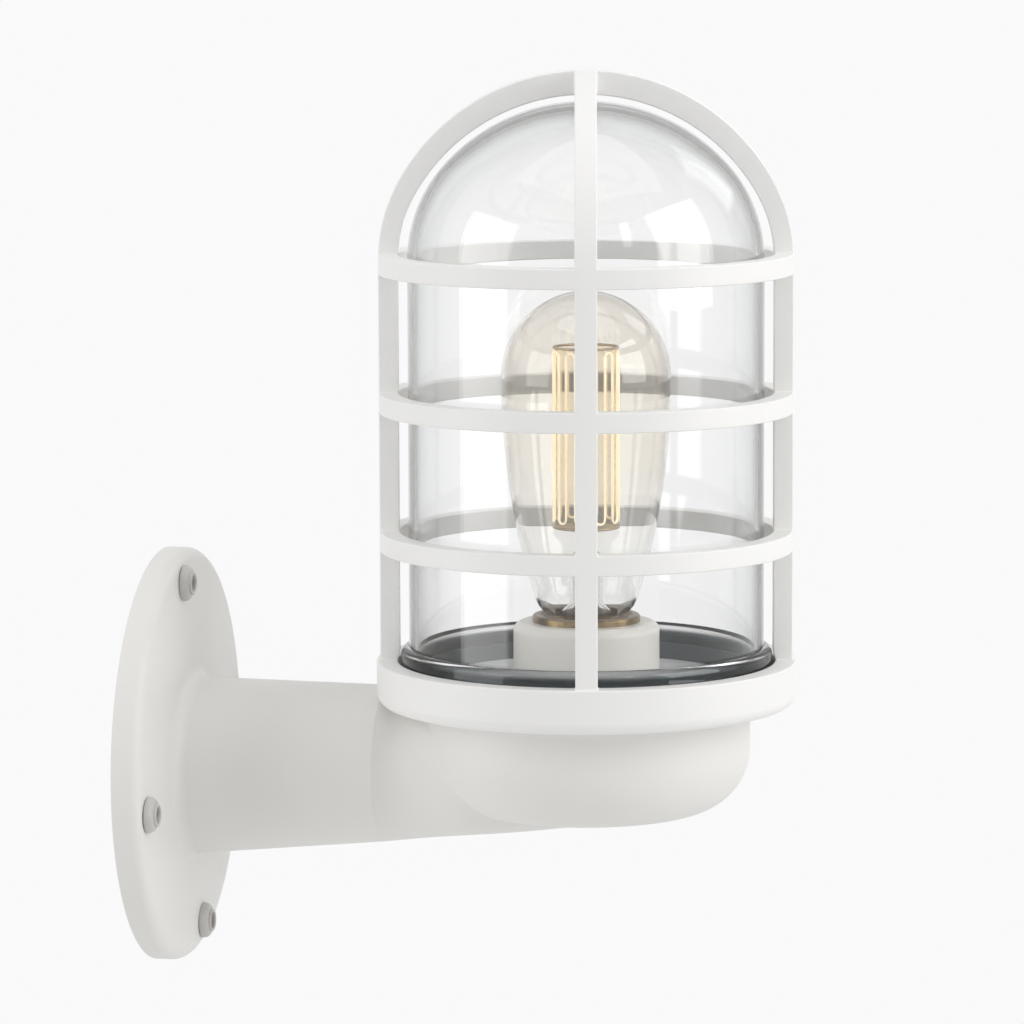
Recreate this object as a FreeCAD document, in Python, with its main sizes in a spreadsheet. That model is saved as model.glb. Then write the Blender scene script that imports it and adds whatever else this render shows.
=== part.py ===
import FreeCAD, Part
import math
import os
import Sketcher

V = FreeCAD.Vector

# Cage wall light. The wall is the plane y = 0, the light stands out towards -Y and +Z is up.
# The origin is the middle of the wall plate's back face. All sizes are in millimetres.
doc = FreeCAD.newDocument("cage_wall_light")
sheet = doc.addObject("Spreadsheet::Sheet", "Sizes")

SIZES = [
    # wall plate
    ("reach", 165.0), ("plate_radius", 79.4), ("rim_band", 6.0), ("rim_corner", 4.6), ("plate_dome", 1.2),
    ("wall", 4.0), ("rim_width", 8.0), ("seal_width", 2.6), ("seal_depth", 1.6), ("seal_inset", 2.2),
    ("seal_skin", 0.1),
    # fixings on their circle
    ("fixing_inset", 10.6), ("fixing_circle", "=2 * (plate_radius - fixing_inset)"), ("fixing_turn", 10.0),
    ("fixing_hole", 5.4), ("fixing_bore", 3.1), ("fixing_head", 6.9), ("fixing_proud", 4.4),
    ("fixing_seat", 0.3), ("fixing_play", 0.1),
    # arm: the straight top and underside, and the half width where it leaves the plate and at the waist
    ("arm_top_root", 29.5), ("arm_top_end", 27.4), ("arm_low_root", 38.6), ("arm_low_end", 28.0),
    ("arm_side_root", 33.6), ("arm_side_waist", 31.2), ("arm_side_flare", 39.5), ("arm_ease", 9.0),
    ("flare_ease", 0.32), ("flare_lift", 2.2), ("arm_flat", 1.2), ("arm_blend", 5.0), ("entry_web", 4.0),
    # places along the arm, measured from the lamp's axis
    ("neck_back", 68.0), ("flare_back", 47.0), ("inset_back", 20.0), ("end_past", 23.0),
    ("arm_neck", "=reach - neck_back"), ("arm_flare", "=reach - flare_back"),
    ("arm_inset", "=reach - inset_back"), ("arm_end", "=reach + end_past"),
    # brazed joint between the plate's collar and the arm
    ("arm_joint", 20.0), ("arm_spigot", 5.0), ("braze_gap", 0.05),
    # guard
    ("flange_radius", 79.4), ("flange_low", 24.1), ("flange_top", 41.0), ("flange_corner", 4.8), ("lip", 3.6),
    ("thread_play", 0.08), ("guard_turn", 10.5), ("guard_inset", 1.4),
    ("guard_radius", "=flange_radius - guard_inset"), ("guard_depth", 7.4), ("guard_rise", 71.4),
    ("guard_rise_inner", 62.2), ("guard_shoulder", 62.0), ("guard_shoulder_inner", 50.0),
    ("spring_line", 192.0), ("rib_width", 8.2), ("ring_height", 7.6), ("ring_low", 82.8),
    ("ring_pitch", 52.2), ("rib_soft", 1.0),
    # cup and its screwed neck
    ("cup_inset", 17.4), ("cup_radius", "=flange_radius - cup_inset"), ("cup_bottom", 16.7),
    ("cup_corner", 24.0), ("ledge", 23.8), ("ledge_blend", 4.5), ("flange_wall", 5.4),
    ("neck_radius", "=flange_radius - flange_wall"), ("neck_top", 32.0), ("neck_wall", 11.5),
    ("neck_bore", "=neck_radius - neck_wall"), ("neck_shelf", 26.0), ("lip_reach", 2.6),
    ("flange_mouth", "=neck_radius - lip_reach"),
    # glass dome
    ("foot_play", 0.7), ("foot_flange", "=neck_radius - foot_play"), ("foot_clear", 1.2),
    ("foot_radius", "=flange_mouth - foot_clear"), ("foot_step", 3.1),
    ("glass_radius", "=foot_radius - foot_step"), ("glass_wall", 3.2), ("glass_crown", 4.0),
    ("glass_rise", 59.8), ("glass_shoulder", 54.0), ("foot_top", 46.5), ("foot_flange_top", 36.6),
    ("glass_seat", 34.4),
    # seals and base disc
    ("seal_upstand", 39.0), ("seal_lip", 1.4), ("seal_play", 0.3), ("disc_sheet", 1.0), ("disc_raise", 1.2),
    ("disc_seat", 3.5), ("disc_radius", "=neck_bore + disc_seat"), ("disc_slope", 6.5),
    ("disc_step", "=disc_radius - disc_slope"), ("disc_gap", 0.4), ("washer", 0.6), ("washer_play", 0.05),
    # lampholder
    ("holder_radius", 27.65), ("holder_top", 55.6), ("holder_low", 19.0), ("holder_shoulder", 3.6),
    ("holder_bore", 13.9), ("holder_floor", 32.2), ("mouth_radius", 20.35), ("mouth_height", 2.6),
    ("shell_inner", 13.28), ("shell_sheet", 0.5), ("plunger_radius", 3.0), ("plunger_play", 0.1),
    ("plunger_stop", 1.2), ("plunger_travel", 1.5), ("tip_play", 0.05),
    # strap that carries the lampholder
    ("strap_sheet", 2.0), ("strap_width", 16.0), ("strap_reach", 36.0), ("boss_radius", 5.0),
    # lamp bulb
    ("bulb_radius", 32.0), ("bulb_top", 180.3), ("bulb_taper", 24.0), ("bulb_taper_level", 80.0),
    ("bulb_neck", 19.3), ("bulb_neck_level", 64.0), ("bulb_root", 12.6), ("bulb_root_level", 57.2),
    ("bulb_corner", 8.0), ("bulb_wall", 0.9), ("cap_radius", 13.2), ("cap_sheet", 0.5), ("cap_low", 38.5),
    ("cap_foot", 8.4), ("cap_insulator", 3.6), ("tip_radius", 4.6), ("tip_height", 1.5),
    # column inside the bulb
    ("column_radius", 11.6), ("column_wall", 0.8), ("column_low", 91.0), ("column_top", 160.0),
    ("collar_height", 2.2), ("collar_depth", 1.8), ("wire", 0.5), ("wire_play", 0.05), ("filament", 0.9),
    ("stem_radius", 6.0), ("stem_top", 84.0),
    # wiring
    ("lead", 1.5), ("lead_play", 0.3), ("entry_bore", 4.5), ("entry_outer", 8.0), ("entry_flange", 2.0),
    ("block_length", 26.0), ("block_depth", 14.0), ("block_height", 11.0), ("block_place", 8.0),
    ("earth_inset", 28.0),
    ("earth_place", "=earth_inset - cup_radius"), ("screw_radius", 2.0), ("screw_head", 3.8), ("screw_head_height", 2.4),
    ("screw_grip", 8.0),
]
for row, (alias, number) in enumerate(SIZES, start=1):
    sheet.set(f"A{row}", alias)
    sheet.set(f"B{row}", str(number))
    sheet.setAlias(f"B{row}", alias)
doc.recompute()

ALIASES = sorted((alias for alias, number in SIZES), key=len, reverse=True)
parts = []


def bind(text):
    """The text with each size's name pointing at its cell."""
    words = []
    word = ""
    for letter in text + " ":
        if letter.isalnum() or letter in "_.":
            word += letter
            continue
        words.append("Sizes." + word if word in ALIASES else word)
        words.append(letter)
        word = ""
    return "".join(words).strip()


def value(text):
    """The number that a formula of sizes gives."""
    answer = sheet.evalExpression(bind(text))
    return float(getattr(answer, "Value", answer))


def new_body(label, place=("0", "0", "0")):
    """A body with its name, moved to a place given in sizes."""
    body = doc.addObject("PartDesign::Body", label)
    body.Label = label
    for axis, text in zip("xyz", place):
        if text != "0":
            body.setExpression(f".Placement.Base.{axis}", bind(text))
    parts.append(body)
    return body


def on_axis(label):
    """A body whose own Z axis is the lamp's upright axis."""
    return new_body(label, ("0", "-reach", "0"))


def on_grille(label):
    """A body of the guard's grille, screwed home to where one rib faces the room."""
    body = on_axis(label)
    body.Placement = FreeCAD.Placement(body.Placement.Base, FreeCAD.Rotation(V(0, 0, 1), 1))
    body.setExpression(".Placement.Rotation.Angle", bind("guard_turn"))
    return body


def plane_of(body, role):
    return next(item for item in body.Origin.OriginFeatures if item.Role == role)


def new_sketch(body, name, role, offset="0"):
    """An empty sketch on one of the body's own planes, at an offset along its normal."""
    sketch = body.newObject("Sketcher::SketchObject", name)
    sketch.AttachmentSupport = [(plane_of(body, role), "")]
    sketch.MapMode = "FlatFace"
    if offset != "0":
        sketch.setExpression(".AttachmentOffset.Base.z", bind(offset))
    return sketch


def hold(sketch, geometry, point, axis, text):
    """Fix one coordinate of a point to a formula of sizes."""
    number = value(text)
    if abs(number) < 1e-9:
        sketch.addConstraint(Sketcher.Constraint("PointOnObject", geometry, point, -2 if axis == "X" else -1))
        return
    index = sketch.addConstraint(Sketcher.Constraint(f"Distance{axis}", -1, 1, geometry, point, number))
    sketch.setExpression(f"Constraints[{index}]", bind(text))


def arc_centre(start, end, radius):
    """The centre of the short arc between two points; a positive radius puts it left of the chord."""
    chord = end - start
    rise = math.sqrt(max(radius * radius - chord.Length ** 2 / 4.0, 0.0))
    normal = V(-chord.y, chord.x, 0).normalize()
    return (start + end) * 0.5 + normal * rise * math.copysign(1, radius)


def outline(body, name, role, corners, offset="0"):
    """A closed sketch. A corner is (x, y), or (x, y, r) where an arc of radius r leads to it."""
    sketch = new_sketch(body, name, role, offset)
    spots = [V(value(corner[0]), value(corner[1]), 0) for corner in corners]
    count = len(corners)
    ends = []
    for index, corner in enumerate(corners):
        start = spots[index - 1]
        end = spots[index]
        if len(corner) == 2:
            ends.append((sketch.addGeometry(Part.LineSegment(start, end)), 1, 2))
            continue
        radius = value(corner[2])
        centre = arc_centre(start, end, radius)
        circle = Part.Circle(centre, V(0, 0, 1), abs(radius))
        first, last = (start, end) if radius > 0 else (end, start)
        angles = [math.atan2(spot.y - centre.y, spot.x - centre.x) for spot in (first, last)]
        arc = Part.ArcOfCircle(circle, angles[0], angles[1])
        ends.append((sketch.addGeometry(arc),) + ((1, 2) if radius > 0 else (2, 1)))
    for index in range(count):
        geometry, near, far = ends[index]
        following = ends[(index + 1) % count]
        sketch.addConstraint(Sketcher.Constraint("Coincident", geometry, far, following[0], following[1]))
        hold(sketch, geometry, far, "X", corners[index][0])
        hold(sketch, geometry, far, "Y", corners[index][1])
        if len(corners[index]) == 3:
            radius = f"abs({corners[index][2]})"
            spot = sketch.addConstraint(Sketcher.Constraint("Radius", geometry, value(radius)))
            sketch.setExpression(f"Constraints[{spot}]", bind(radius))
    return sketch


def circles(body, name, role, rounds, offset="0"):
    """A sketch of circles, each (x, y, radius)."""
    sketch = new_sketch(body, name, role, offset)
    for across, up, radius in rounds:
        circle = Part.Circle(V(value(across), value(up), 0), V(0, 0, 1), value(radius))
        index = sketch.addGeometry(circle)
        hold(sketch, index, 3, "X", across)
        hold(sketch, index, 3, "Y", up)
        spot = sketch.addConstraint(Sketcher.Constraint("Radius", index, value(radius)))
        sketch.setExpression(f"Constraints[{spot}]", bind(radius))
    return sketch


def turn(body, sketch, name, cut=False):
    """A full turn of a sketch about its own upright axis."""
    feature = body.newObject("PartDesign::Groove" if cut else "PartDesign::Revolution", name)
    feature.Profile = sketch
    feature.ReferenceAxis = (sketch, ["V_Axis"])
    feature.Angle = 360
    return feature


def pad(body, sketch, name, length, back=False, both=False):
    feature = body.newObject("PartDesign::Pad", name)
    feature.Profile = sketch
    feature.setExpression("Length", bind(length))
    feature.Reversed = back
    feature.Midplane = both
    return feature


def pocket(body, sketch, name, length, back=False, both=False):
    feature = body.newObject("PartDesign::Pocket", name)
    feature.Profile = sketch
    feature.setExpression("Length", bind(length))
    feature.Reversed = back
    feature.Midplane = both
    return feature


def polar(body, features, name, role, count):
    """Copies of features about one of the body's own axes."""
    pattern = body.newObject("PartDesign::PolarPattern", name)
    pattern.Originals = features
    pattern.Axis = (plane_of(body, role), [""])
    pattern.Angle = 360
    pattern.Occurrences = count
    body.Tip = pattern
    return pattern


def turned(label, corners):
    """A piece made in one turn about the lamp's axis."""
    body = on_axis(label)
    turn(body, outline(body, label + "_profile", "XZ_Plane", corners), label + "_turn")
    return body


def crown(outer, rise, shoulder):
    """Radius of the top arc of a dome that meets its shoulder arc in a smooth joint."""
    return f"((({outer}) - ({shoulder}))^2 + ({rise})^2 - ({shoulder})^2) / (2 * (({rise}) - ({shoulder})))"


def dome(outer, rise, shoulder, base, down=False):
    """The corners of a dome's half outline: up from its side to its top, or back down."""
    top_radius = crown(outer, rise, shoulder)
    side = f"(({outer}) - ({shoulder}))"
    drop = f"(({top_radius}) - ({rise}))"
    share = f"(({top_radius}) / (({top_radius}) - ({shoulder})))"
    joint = (f"{side} * {share}", f"{base} + {drop} * {share} - {drop}")
    if down:
        return [(joint[0], joint[1], f"-({top_radius})"), (outer, base, f"-({shoulder})")]
    return [(joint[0], joint[1], shoulder), ("0", f"{base} + {rise}", top_radius)]


FRONT = "(rim_band + rim_corner)"
CUP_FLOOR = "(wall - cup_bottom)"


def arm_section(body, name, depth, side, top, low, inset="0"):
    """One cross section of the arm: an upright oval with short flats, drawn in by the inset."""
    half = f"((({top}) + ({low})) / 2 - ({inset}))"
    middle = f"((({top}) - ({low})) / 2)"
    width = f"(({side}) - ({inset}))"
    curve = f"(min({half}; {width}) - arm_flat)"
    across = f"({width} - {curve})"
    up = f"({half} - {curve})"
    corners = [
        (width, f"{middle} - {up}", curve), (width, f"{middle} + {up}"),
        (across, f"{middle} + {half}", curve), (f"-{across}", f"{middle} + {half}"),
        (f"-{width}", f"{middle} + {up}", curve), (f"-{width}", f"{middle} - {up}"),
        (f"-{across}", f"{middle} - {half}", curve), (across, f"{middle} - {half}"),
    ]
    return outline(body, name, "XZ_Plane", corners, depth)


def along(root, end, depth):
    """A size that changes steadily from the plate's face to the flare, taken at a depth."""
    return f"({root} + ({end} - {root}) * ({depth} - {FRONT}) / (arm_flare - {FRONT}))"


def arm_side(depth):
    """Half width of the arm's straight run at a depth."""
    run = "(arm_neck - arm_ease - wall)"
    return f"(arm_side_root + (arm_side_waist - arm_side_root) * ({depth} - wall) / {run})"


def arm_row(depth, side, top=None, low=None):
    """Depth, half width, top and underside of one section; the top and underside run straight by default."""
    top = top or along("arm_top_root", "arm_top_end", depth)
    low = low or along("arm_low_root", "arm_low_end", depth)
    return (depth, side, top, low)


def loft(body, name, rows, inset, straight, cut):
    sections = []
    for index, row in enumerate(rows):
        sections.append(arm_section(body, f"{name}_{index}", *row, inset))
    kind = "PartDesign::SubtractiveLoft" if cut else "PartDesign::AdditiveLoft"
    feature = body.newObject(kind, name)
    feature.Profile = sections[0]
    feature.Sections = sections[1:]
    feature.Ruled = straight
    return feature


def lifted(depth, share):
    """Underside of the arm at a depth, raised by a share of the flare's lift."""
    return f"({along('arm_low_root', 'arm_low_end', depth)} - {share} * flare_lift)"


def straight_arm(body, name, first, last, inset, cut=False, top=None):
    """A stretch of the arm's straight run between two depths."""
    rows = [arm_row(first, arm_side(first)), arm_row(last, arm_side(last), top)]
    return loft(body, name, rows, inset, True, cut)


def arm_lofts(body, name, first, inset, cut):
    """The arm's run and its flare into the cup, as a solid or, drawn in by the wall, as its hollow."""
    start = "(arm_neck - arm_ease)"
    middle = "((arm_neck + arm_flare) / 2)"
    half_flare = "(arm_side_waist + (arm_side_flare - arm_side_waist) * flare_ease)"
    top = "(ledge + wall / 2)" if cut else None
    straight_arm(body, name, first, start, inset, cut, top)
    rows = [
        arm_row(start, "arm_side_waist", top),
        arm_row(middle, half_flare, top, lifted(middle, "0.5")),
        arm_row("arm_flare", "arm_side_flare", top, lifted("arm_flare", "1")),
        arm_row("arm_inset", "arm_side_flare", "arm_top_end - wall", lifted("arm_inset", "1.2")),
    ]
    if not cut:
        rows.append(arm_row("arm_end", "arm_side_waist", "ledge - 2 * wall", "cup_bottom - wall"))
    return loft(body, name + "_flare", rows, inset, False, cut)


def cup_profile(inset, top_corners):
    """Half outline of the cup: flat bottom, rounded corner, upright side, drawn in by the inset."""
    corner = f"(cup_corner - ({inset}))"
    side = f"(cup_radius - ({inset}))"
    floor = f"(({inset}) - cup_bottom)"
    base = [("0", floor), ("cup_radius - cup_corner", floor), (side, "cup_corner - cup_bottom", corner)]
    return base + top_corners


def fixing_spot():
    return ("fixing_circle / 2 * cos(90 + fixing_turn)", "fixing_circle / 2 * sin(90 + fixing_turn)")


SPIGOT_START = "(arm_joint - arm_spigot + braze_gap)"


def wall_plate():
    """Round dished wall plate with the collar that the arm is brazed into."""
    body = new_body("wall_plate")
    face_bow = "((plate_radius - rim_corner)^2 + plate_dome^2) / (2 * plate_dome)"
    plate = [("0", "0"), ("plate_radius", "0"), ("plate_radius", "-rim_band"),
             ("plate_radius - rim_corner", f"-{FRONT}", "-rim_corner"),
             ("0", f"-{FRONT} - plate_dome", f"-({face_bow})")]
    turn(body, outline(body, "plate_profile", "XY_Plane", plate), "plate")
    straight_arm(body, "collar", "wall", "arm_joint", "0")
    doc.recompute()
    joined = body.Tip
    blend = body.newObject("PartDesign::Fillet", "root_blend")
    blend.Base = (joined, blend_edges(joined.Shape))
    blend.setExpression("Radius", bind("arm_blend"))
    body.Tip = blend
    straight_arm(body, "collar_way", FRONT, "arm_joint", "wall", cut=True)
    straight_arm(body, "socket", "(arm_joint - arm_spigot)", "arm_joint", "wall / 2", cut=True)
    recess_depth = f"({FRONT} - entry_web)"
    recess = [("0", "0"), ("plate_radius - rim_width", "0"), ("plate_radius - rim_width", f"-{recess_depth}"),
              ("0", f"-{recess_depth}")]
    turn(body, outline(body, "back_recess_profile", "XY_Plane", recess), "back_recess", cut=True)
    spot = fixing_spot()
    lug = circles(body, "lug_profile", "XZ_Plane", [spot + ("fixing_hole + wall",)])
    polar(body, [pad(body, lug, "lug", recess_depth)], "lugs", "Y_Axis", 4)
    through = f"({FRONT} + 2 * plate_dome)"
    hole = circles(body, "fixing_profile", "XZ_Plane", [spot + ("fixing_hole",)])
    polar(body, [pocket(body, hole, "fixing_way", through, back=True)], "fixing_ways", "Y_Axis", 4)
    outer = "plate_radius - seal_inset"
    groove = [(f"{outer} - seal_width", "0"), (outer, "0"), (outer, "-seal_depth"),
              (f"{outer} - seal_width", "-seal_depth")]
    turn(body, outline(body, "seal_groove_profile", "XY_Plane", groove), "seal_groove", cut=True)
    entry = [("0", "0"), ("entry_outer", "0"), ("entry_outer", f"-{through}"), ("0", f"-{through}")]
    turn(body, outline(body, "entry_profile", "XY_Plane", entry), "entry_way", cut=True)
    return body


def arm_casting():
    """Hollow arm and cup in one casting, with a spigot at the root and a screwed neck on top."""
    body = new_body("arm_casting")
    straight_arm(body, "spigot", SPIGOT_START, "(arm_joint + wall)", "wall / 2 + braze_gap")
    arm_lofts(body, "arm", "arm_joint", "0", False)
    neck = [("cup_radius", "ledge - ledge_blend"), ("cup_radius + ledge_blend", "ledge", "-ledge_blend"),
            ("neck_radius", "ledge"), ("neck_radius", "neck_top"), ("0", "neck_top")]
    turn(body, outline(body, "cup_profile", "XZ_Plane", cup_profile("0", neck), "reach"), "cup")
    gap = "(flange_low - ledge)"
    clear = [("neck_radius", "ledge"), ("flange_radius - flange_corner", "ledge"),
             (f"flange_radius + {gap}", "flange_low + flange_corner", f"flange_corner + {gap}"),
             (f"flange_radius + {gap}", "flange_top"), ("neck_radius", "flange_top")]
    turn(body, outline(body, "guard_clearance", "XZ_Plane", clear, "reach"), "guard_way", cut=True)
    crown_cut = [("0", "neck_top"), ("neck_radius", "neck_top"), ("neck_radius", "flange_top"),
                 ("0", "flange_top")]
    turn(body, outline(body, "crown_clearance", "XZ_Plane", crown_cut, "reach"), "glass_way", cut=True)
    inner = [("cup_radius - wall", "neck_shelf"), ("neck_bore", "neck_shelf"),
             ("neck_bore", "neck_top - disc_sheet"), ("disc_radius + disc_gap", "neck_top - disc_sheet"),
             ("disc_radius + disc_gap", "neck_top"), ("0", "neck_top")]
    hollow = outline(body, "hollow_profile", "XZ_Plane", cup_profile("wall", inner), "reach")
    turn(body, hollow, "hollow", cut=True)
    arm_lofts(body, "arm_way", SPIGOT_START, "wall", True)
    posts = [("strap_reach", "-reach", "boss_radius"), ("-strap_reach", "-reach", "boss_radius")]
    floor = circles(body, "post_profile", "XY_Plane", posts, f"{CUP_FLOOR} - wall / 2")
    pad(body, floor, "posts", f"holder_low - strap_sheet - {CUP_FLOOR} + wall / 2")
    taps = [(x, y, "screw_radius") for x, y, radius in posts]
    tapped = circles(body, "post_tap_profile", "XY_Plane", taps, "holder_low - strap_sheet")
    pocket(body, tapped, "post_taps", "screw_grip")
    return body


def blend_edges(shape):
    """Names of the edges where the arm leaves the plate's face."""
    found = []
    low = value(FRONT)
    high = low + 2 * value("plate_dome")
    reach = value("arm_low_root") + 2
    for index, edge in enumerate(shape.Edges, start=1):
        box = edge.BoundBox
        on_face = -high < box.YMin and box.YMax < -low + 0.05
        round_arm = max(abs(box.ZMin), abs(box.XMax)) < reach
        if on_face and round_arm and edge.Length > 0.5:
            found.append(f"Edge{index}")
    return found


def wall_seal():
    """Rubber ring in the groove round the back of the wall plate."""
    body = new_body("wall_seal")
    outer = "plate_radius - seal_inset"
    ring = [(f"{outer} - seal_width", "-seal_skin"), (outer, "-seal_skin"), (outer, "-seal_depth"),
            (f"{outer} - seal_width", "-seal_depth")]
    turn(body, outline(body, "ring_profile", "XY_Plane", ring), "ring")
    return body


def fixing_bushes():
    """Four sealing bushes in the wall plate, each with a domed head and an open bore."""
    body = new_body("fixing_bushes")
    spot = fixing_spot()
    face = f"({FRONT} + fixing_seat)"
    head = circles(body, "head_profile", "XZ_Plane", [spot + ("fixing_head",)], face)
    heads = pad(body, head, "head", "fixing_proud")
    doc.recompute()
    dome_edge = [f"Edge{index}" for index, edge in enumerate(heads.Shape.Edges, start=1)
                 if edge.BoundBox.YMax < -value(f"{face} + fixing_proud") + 0.01]
    soft = body.newObject("PartDesign::Fillet", "head_dome")
    soft.Base = (heads, dome_edge)
    soft.setExpression("Radius", bind("fixing_proud * 0.7"))
    stem = circles(body, "shank_profile", "XZ_Plane", [spot + ("fixing_hole - fixing_play",)])
    shank = pad(body, stem, "shank", face)
    way = circles(body, "bore_profile", "XZ_Plane", [spot + ("fixing_bore",)])
    bore = pocket(body, way, "bore", f"{face} + 2 * fixing_proud", back=True)
    body.Tip = bore
    polar(body, [heads, soft, shank, bore], "copies", "Y_Axis", 4)
    return body


def entry_bush():
    """Rubber bush in the plate's web, where the supply cable goes into the arm."""
    body = new_body("entry_bush")
    back = f"({FRONT} - entry_web)"
    front = f"({FRONT} + fixing_play)"
    groove = "entry_outer - fixing_play"
    flange = "entry_outer + entry_flange"
    ring = [("entry_bore", f"-{back} + entry_flange"), (flange, f"-{back} + entry_flange"),
            (flange, f"-{back}"), (groove, f"-{back}"), (groove, f"-{front}"), (flange, f"-{front}"),
            (groove, f"-{front} - entry_flange"),
            ("entry_bore", f"-{front} - entry_flange")]
    turn(body, outline(body, "bush_profile", "XY_Plane", ring), "bush")
    return body


GUARD_INNER = "(guard_radius - guard_depth)"


def guard_ribs():
    """Four ribs of the guard, which stand on its flange and cross at the crown."""
    body = on_grille("guard_ribs")
    rib = [("guard_radius", "flange_top"), ("guard_radius", "spring_line")]
    rib += dome("guard_radius", "guard_rise", "guard_shoulder", "spring_line")
    rib += [("0", "spring_line + guard_rise_inner")]
    rib += dome(GUARD_INNER, "guard_rise_inner", "guard_shoulder_inner", "spring_line", down=True)
    rib += [(GUARD_INNER, "flange_top")]
    half = pad(body, outline(body, "rib_profile", "XZ_Plane", rib), "rib", "rib_width", both=True)
    polar(body, [half], "ribs", "Z_Axis", 4)
    return body


def guard_hoop(label, step):
    """One hoop of the guard, in four bars that fit between the ribs."""
    body = on_grille(label)
    low = f"(ring_low + {step} * ring_pitch)"
    ring = [(GUARD_INNER, low), ("guard_radius", low), ("guard_radius", f"{low} + ring_height"),
            (GUARD_INNER, f"{low} + ring_height")]
    turn(body, outline(body, "hoop_profile", "XZ_Plane", ring), "hoop")
    half = "rib_width / 2"
    inside = f"{GUARD_INNER} - rib_width"
    outside = "guard_radius + rib_width"
    slot = [(half, inside), (half, outside), (f"-{half}", outside), (f"-{half}", inside)]
    sketch = outline(body, "rib_slot_profile", "XY_Plane", slot, low)
    polar(body, [pocket(body, sketch, "rib_slot", "ring_height", back=True)], "rib_slots", "Z_Axis", 4)
    return body


def guard_flange():
    """Screwed flange of the guard, with a lip that holds down the foot of the glass."""
    bore = "neck_radius + thread_play"
    return turned("guard_flange", [
        ("flange_radius - flange_corner", "flange_low"),
        ("flange_radius", "flange_low + flange_corner", "flange_corner"),
        ("flange_radius", "flange_top - rib_soft"), ("flange_radius - rib_soft", "flange_top", "rib_soft"),
        ("flange_mouth", "flange_top"), ("flange_mouth", "flange_top - lip"), (bore, "flange_top - lip"),
        (bore, "flange_low")])


def glass_dome():
    """Clear jar with a thick stepped foot and a round crown."""
    inner = "(glass_radius - glass_wall)"
    step = "(foot_radius - glass_radius)"
    corners = [(inner, "glass_seat"), ("foot_flange", "glass_seat"), ("foot_flange", "foot_flange_top"),
               ("foot_radius", "foot_flange_top"), ("foot_radius", f"foot_top - {step}"),
               ("glass_radius", "foot_top", step), ("glass_radius", "spring_line")]
    corners += dome("glass_radius", "glass_rise", "glass_shoulder", "spring_line")
    corners += [("0", "spring_line + glass_rise - glass_crown")]
    hollow = ("glass_rise - glass_crown", "glass_shoulder - glass_wall", "spring_line")
    corners += dome(inner, *hollow, down=True)
    return turned("glass_dome", corners)


def slip_washer():
    """Thin washer between the guard's lip and the glass foot, so that the guard turns on it."""
    low = "foot_flange_top + washer_play"
    corners = [("flange_mouth + seal_play", low), ("foot_flange", low), ("foot_flange", f"{low} + washer"),
               ("flange_mouth + seal_play", f"{low} + washer")]
    return turned("slip_washer", corners)


def glass_seal():
    """Dark rubber seal under the glass foot, with an upstand inside the glass."""
    out = "(glass_radius - glass_wall - seal_play)"
    top = "glass_seat - seal_play"
    corners = [(f"{out} - seal_lip", "neck_top"), ("foot_flange", "neck_top"), ("foot_flange", top),
               (out, top), (out, "seal_upstand"), (f"{out} - seal_lip", "seal_upstand")]
    return turned("glass_seal", corners)


def base_disc():
    """Pressed white disc that closes the cup under the glass, with a raised middle."""
    hole = "holder_radius + disc_gap"
    low = "neck_top - disc_sheet"
    step = "(disc_step + disc_raise)"
    corners = [(hole, f"{low} + disc_raise"), ("disc_step", f"{low} + disc_raise"), (step, low),
               ("disc_radius", low), ("disc_radius", "neck_top"), (step, "neck_top"),
               ("disc_step", "neck_top + disc_raise"), (hole, "neck_top + disc_raise")]
    return turned("base_disc", corners)


def holder_body():
    """Porcelain lampholder with a rounded shoulder."""
    bore = "plunger_radius + plunger_play"
    corners = [(bore, "holder_low"), ("holder_radius", "holder_low"),
               ("holder_radius", "holder_top - holder_shoulder"),
               ("holder_radius - holder_shoulder", "holder_top", "holder_shoulder"),
               ("holder_bore", "holder_top"), ("holder_bore", "holder_floor"), (bore, "holder_floor")]
    return turned("holder_body", corners)


def screw_shell():
    """Brass screw shell that lines the lampholder."""
    outer = "shell_inner + shell_sheet"
    corners = [("shell_inner", "holder_floor"), (outer, "holder_floor"), (outer, "holder_top"),
               ("shell_inner", "holder_top")]
    return turned("screw_shell", corners)


def mouth_ring():
    """Brass ring on top of the lampholder, hollowed towards the bulb."""
    top = "holder_top + mouth_height"
    curl = "mouth_height / 3"
    seat = "shell_inner + shell_sheet"
    corners = [(seat, "holder_top"), ("mouth_radius", "holder_top"), ("mouth_radius", f"{top} - {curl}"),
               (f"mouth_radius - {curl}", top, curl), ("mouth_radius - mouth_height", top),
               (seat, "holder_top + shell_sheet")]
    return turned("mouth_ring", corners)


TIP_LOW = "(cap_low - cap_insulator - tip_height)"
PLATE_TOP = "(holder_low + plunger_stop)"


def contact_plunger():
    """Sprung centre contact in the lampholder's floor."""
    top = f"{TIP_LOW} - tip_play"
    low = f"{PLATE_TOP} + plunger_travel"
    corners = [("0", low), ("plunger_radius", low), ("plunger_radius", f"{top} - plunger_play"), ("0", top)]
    return turned("contact_plunger", corners)


def contact_plate():
    """Brass plate that closes the plunger's bore and carries its spring and wire."""
    corners = [("0", "holder_low"), ("plunger_radius", "holder_low"), ("plunger_radius", PLATE_TOP),
               ("0", PLATE_TOP)]
    return turned("contact_plate", corners)


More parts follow.
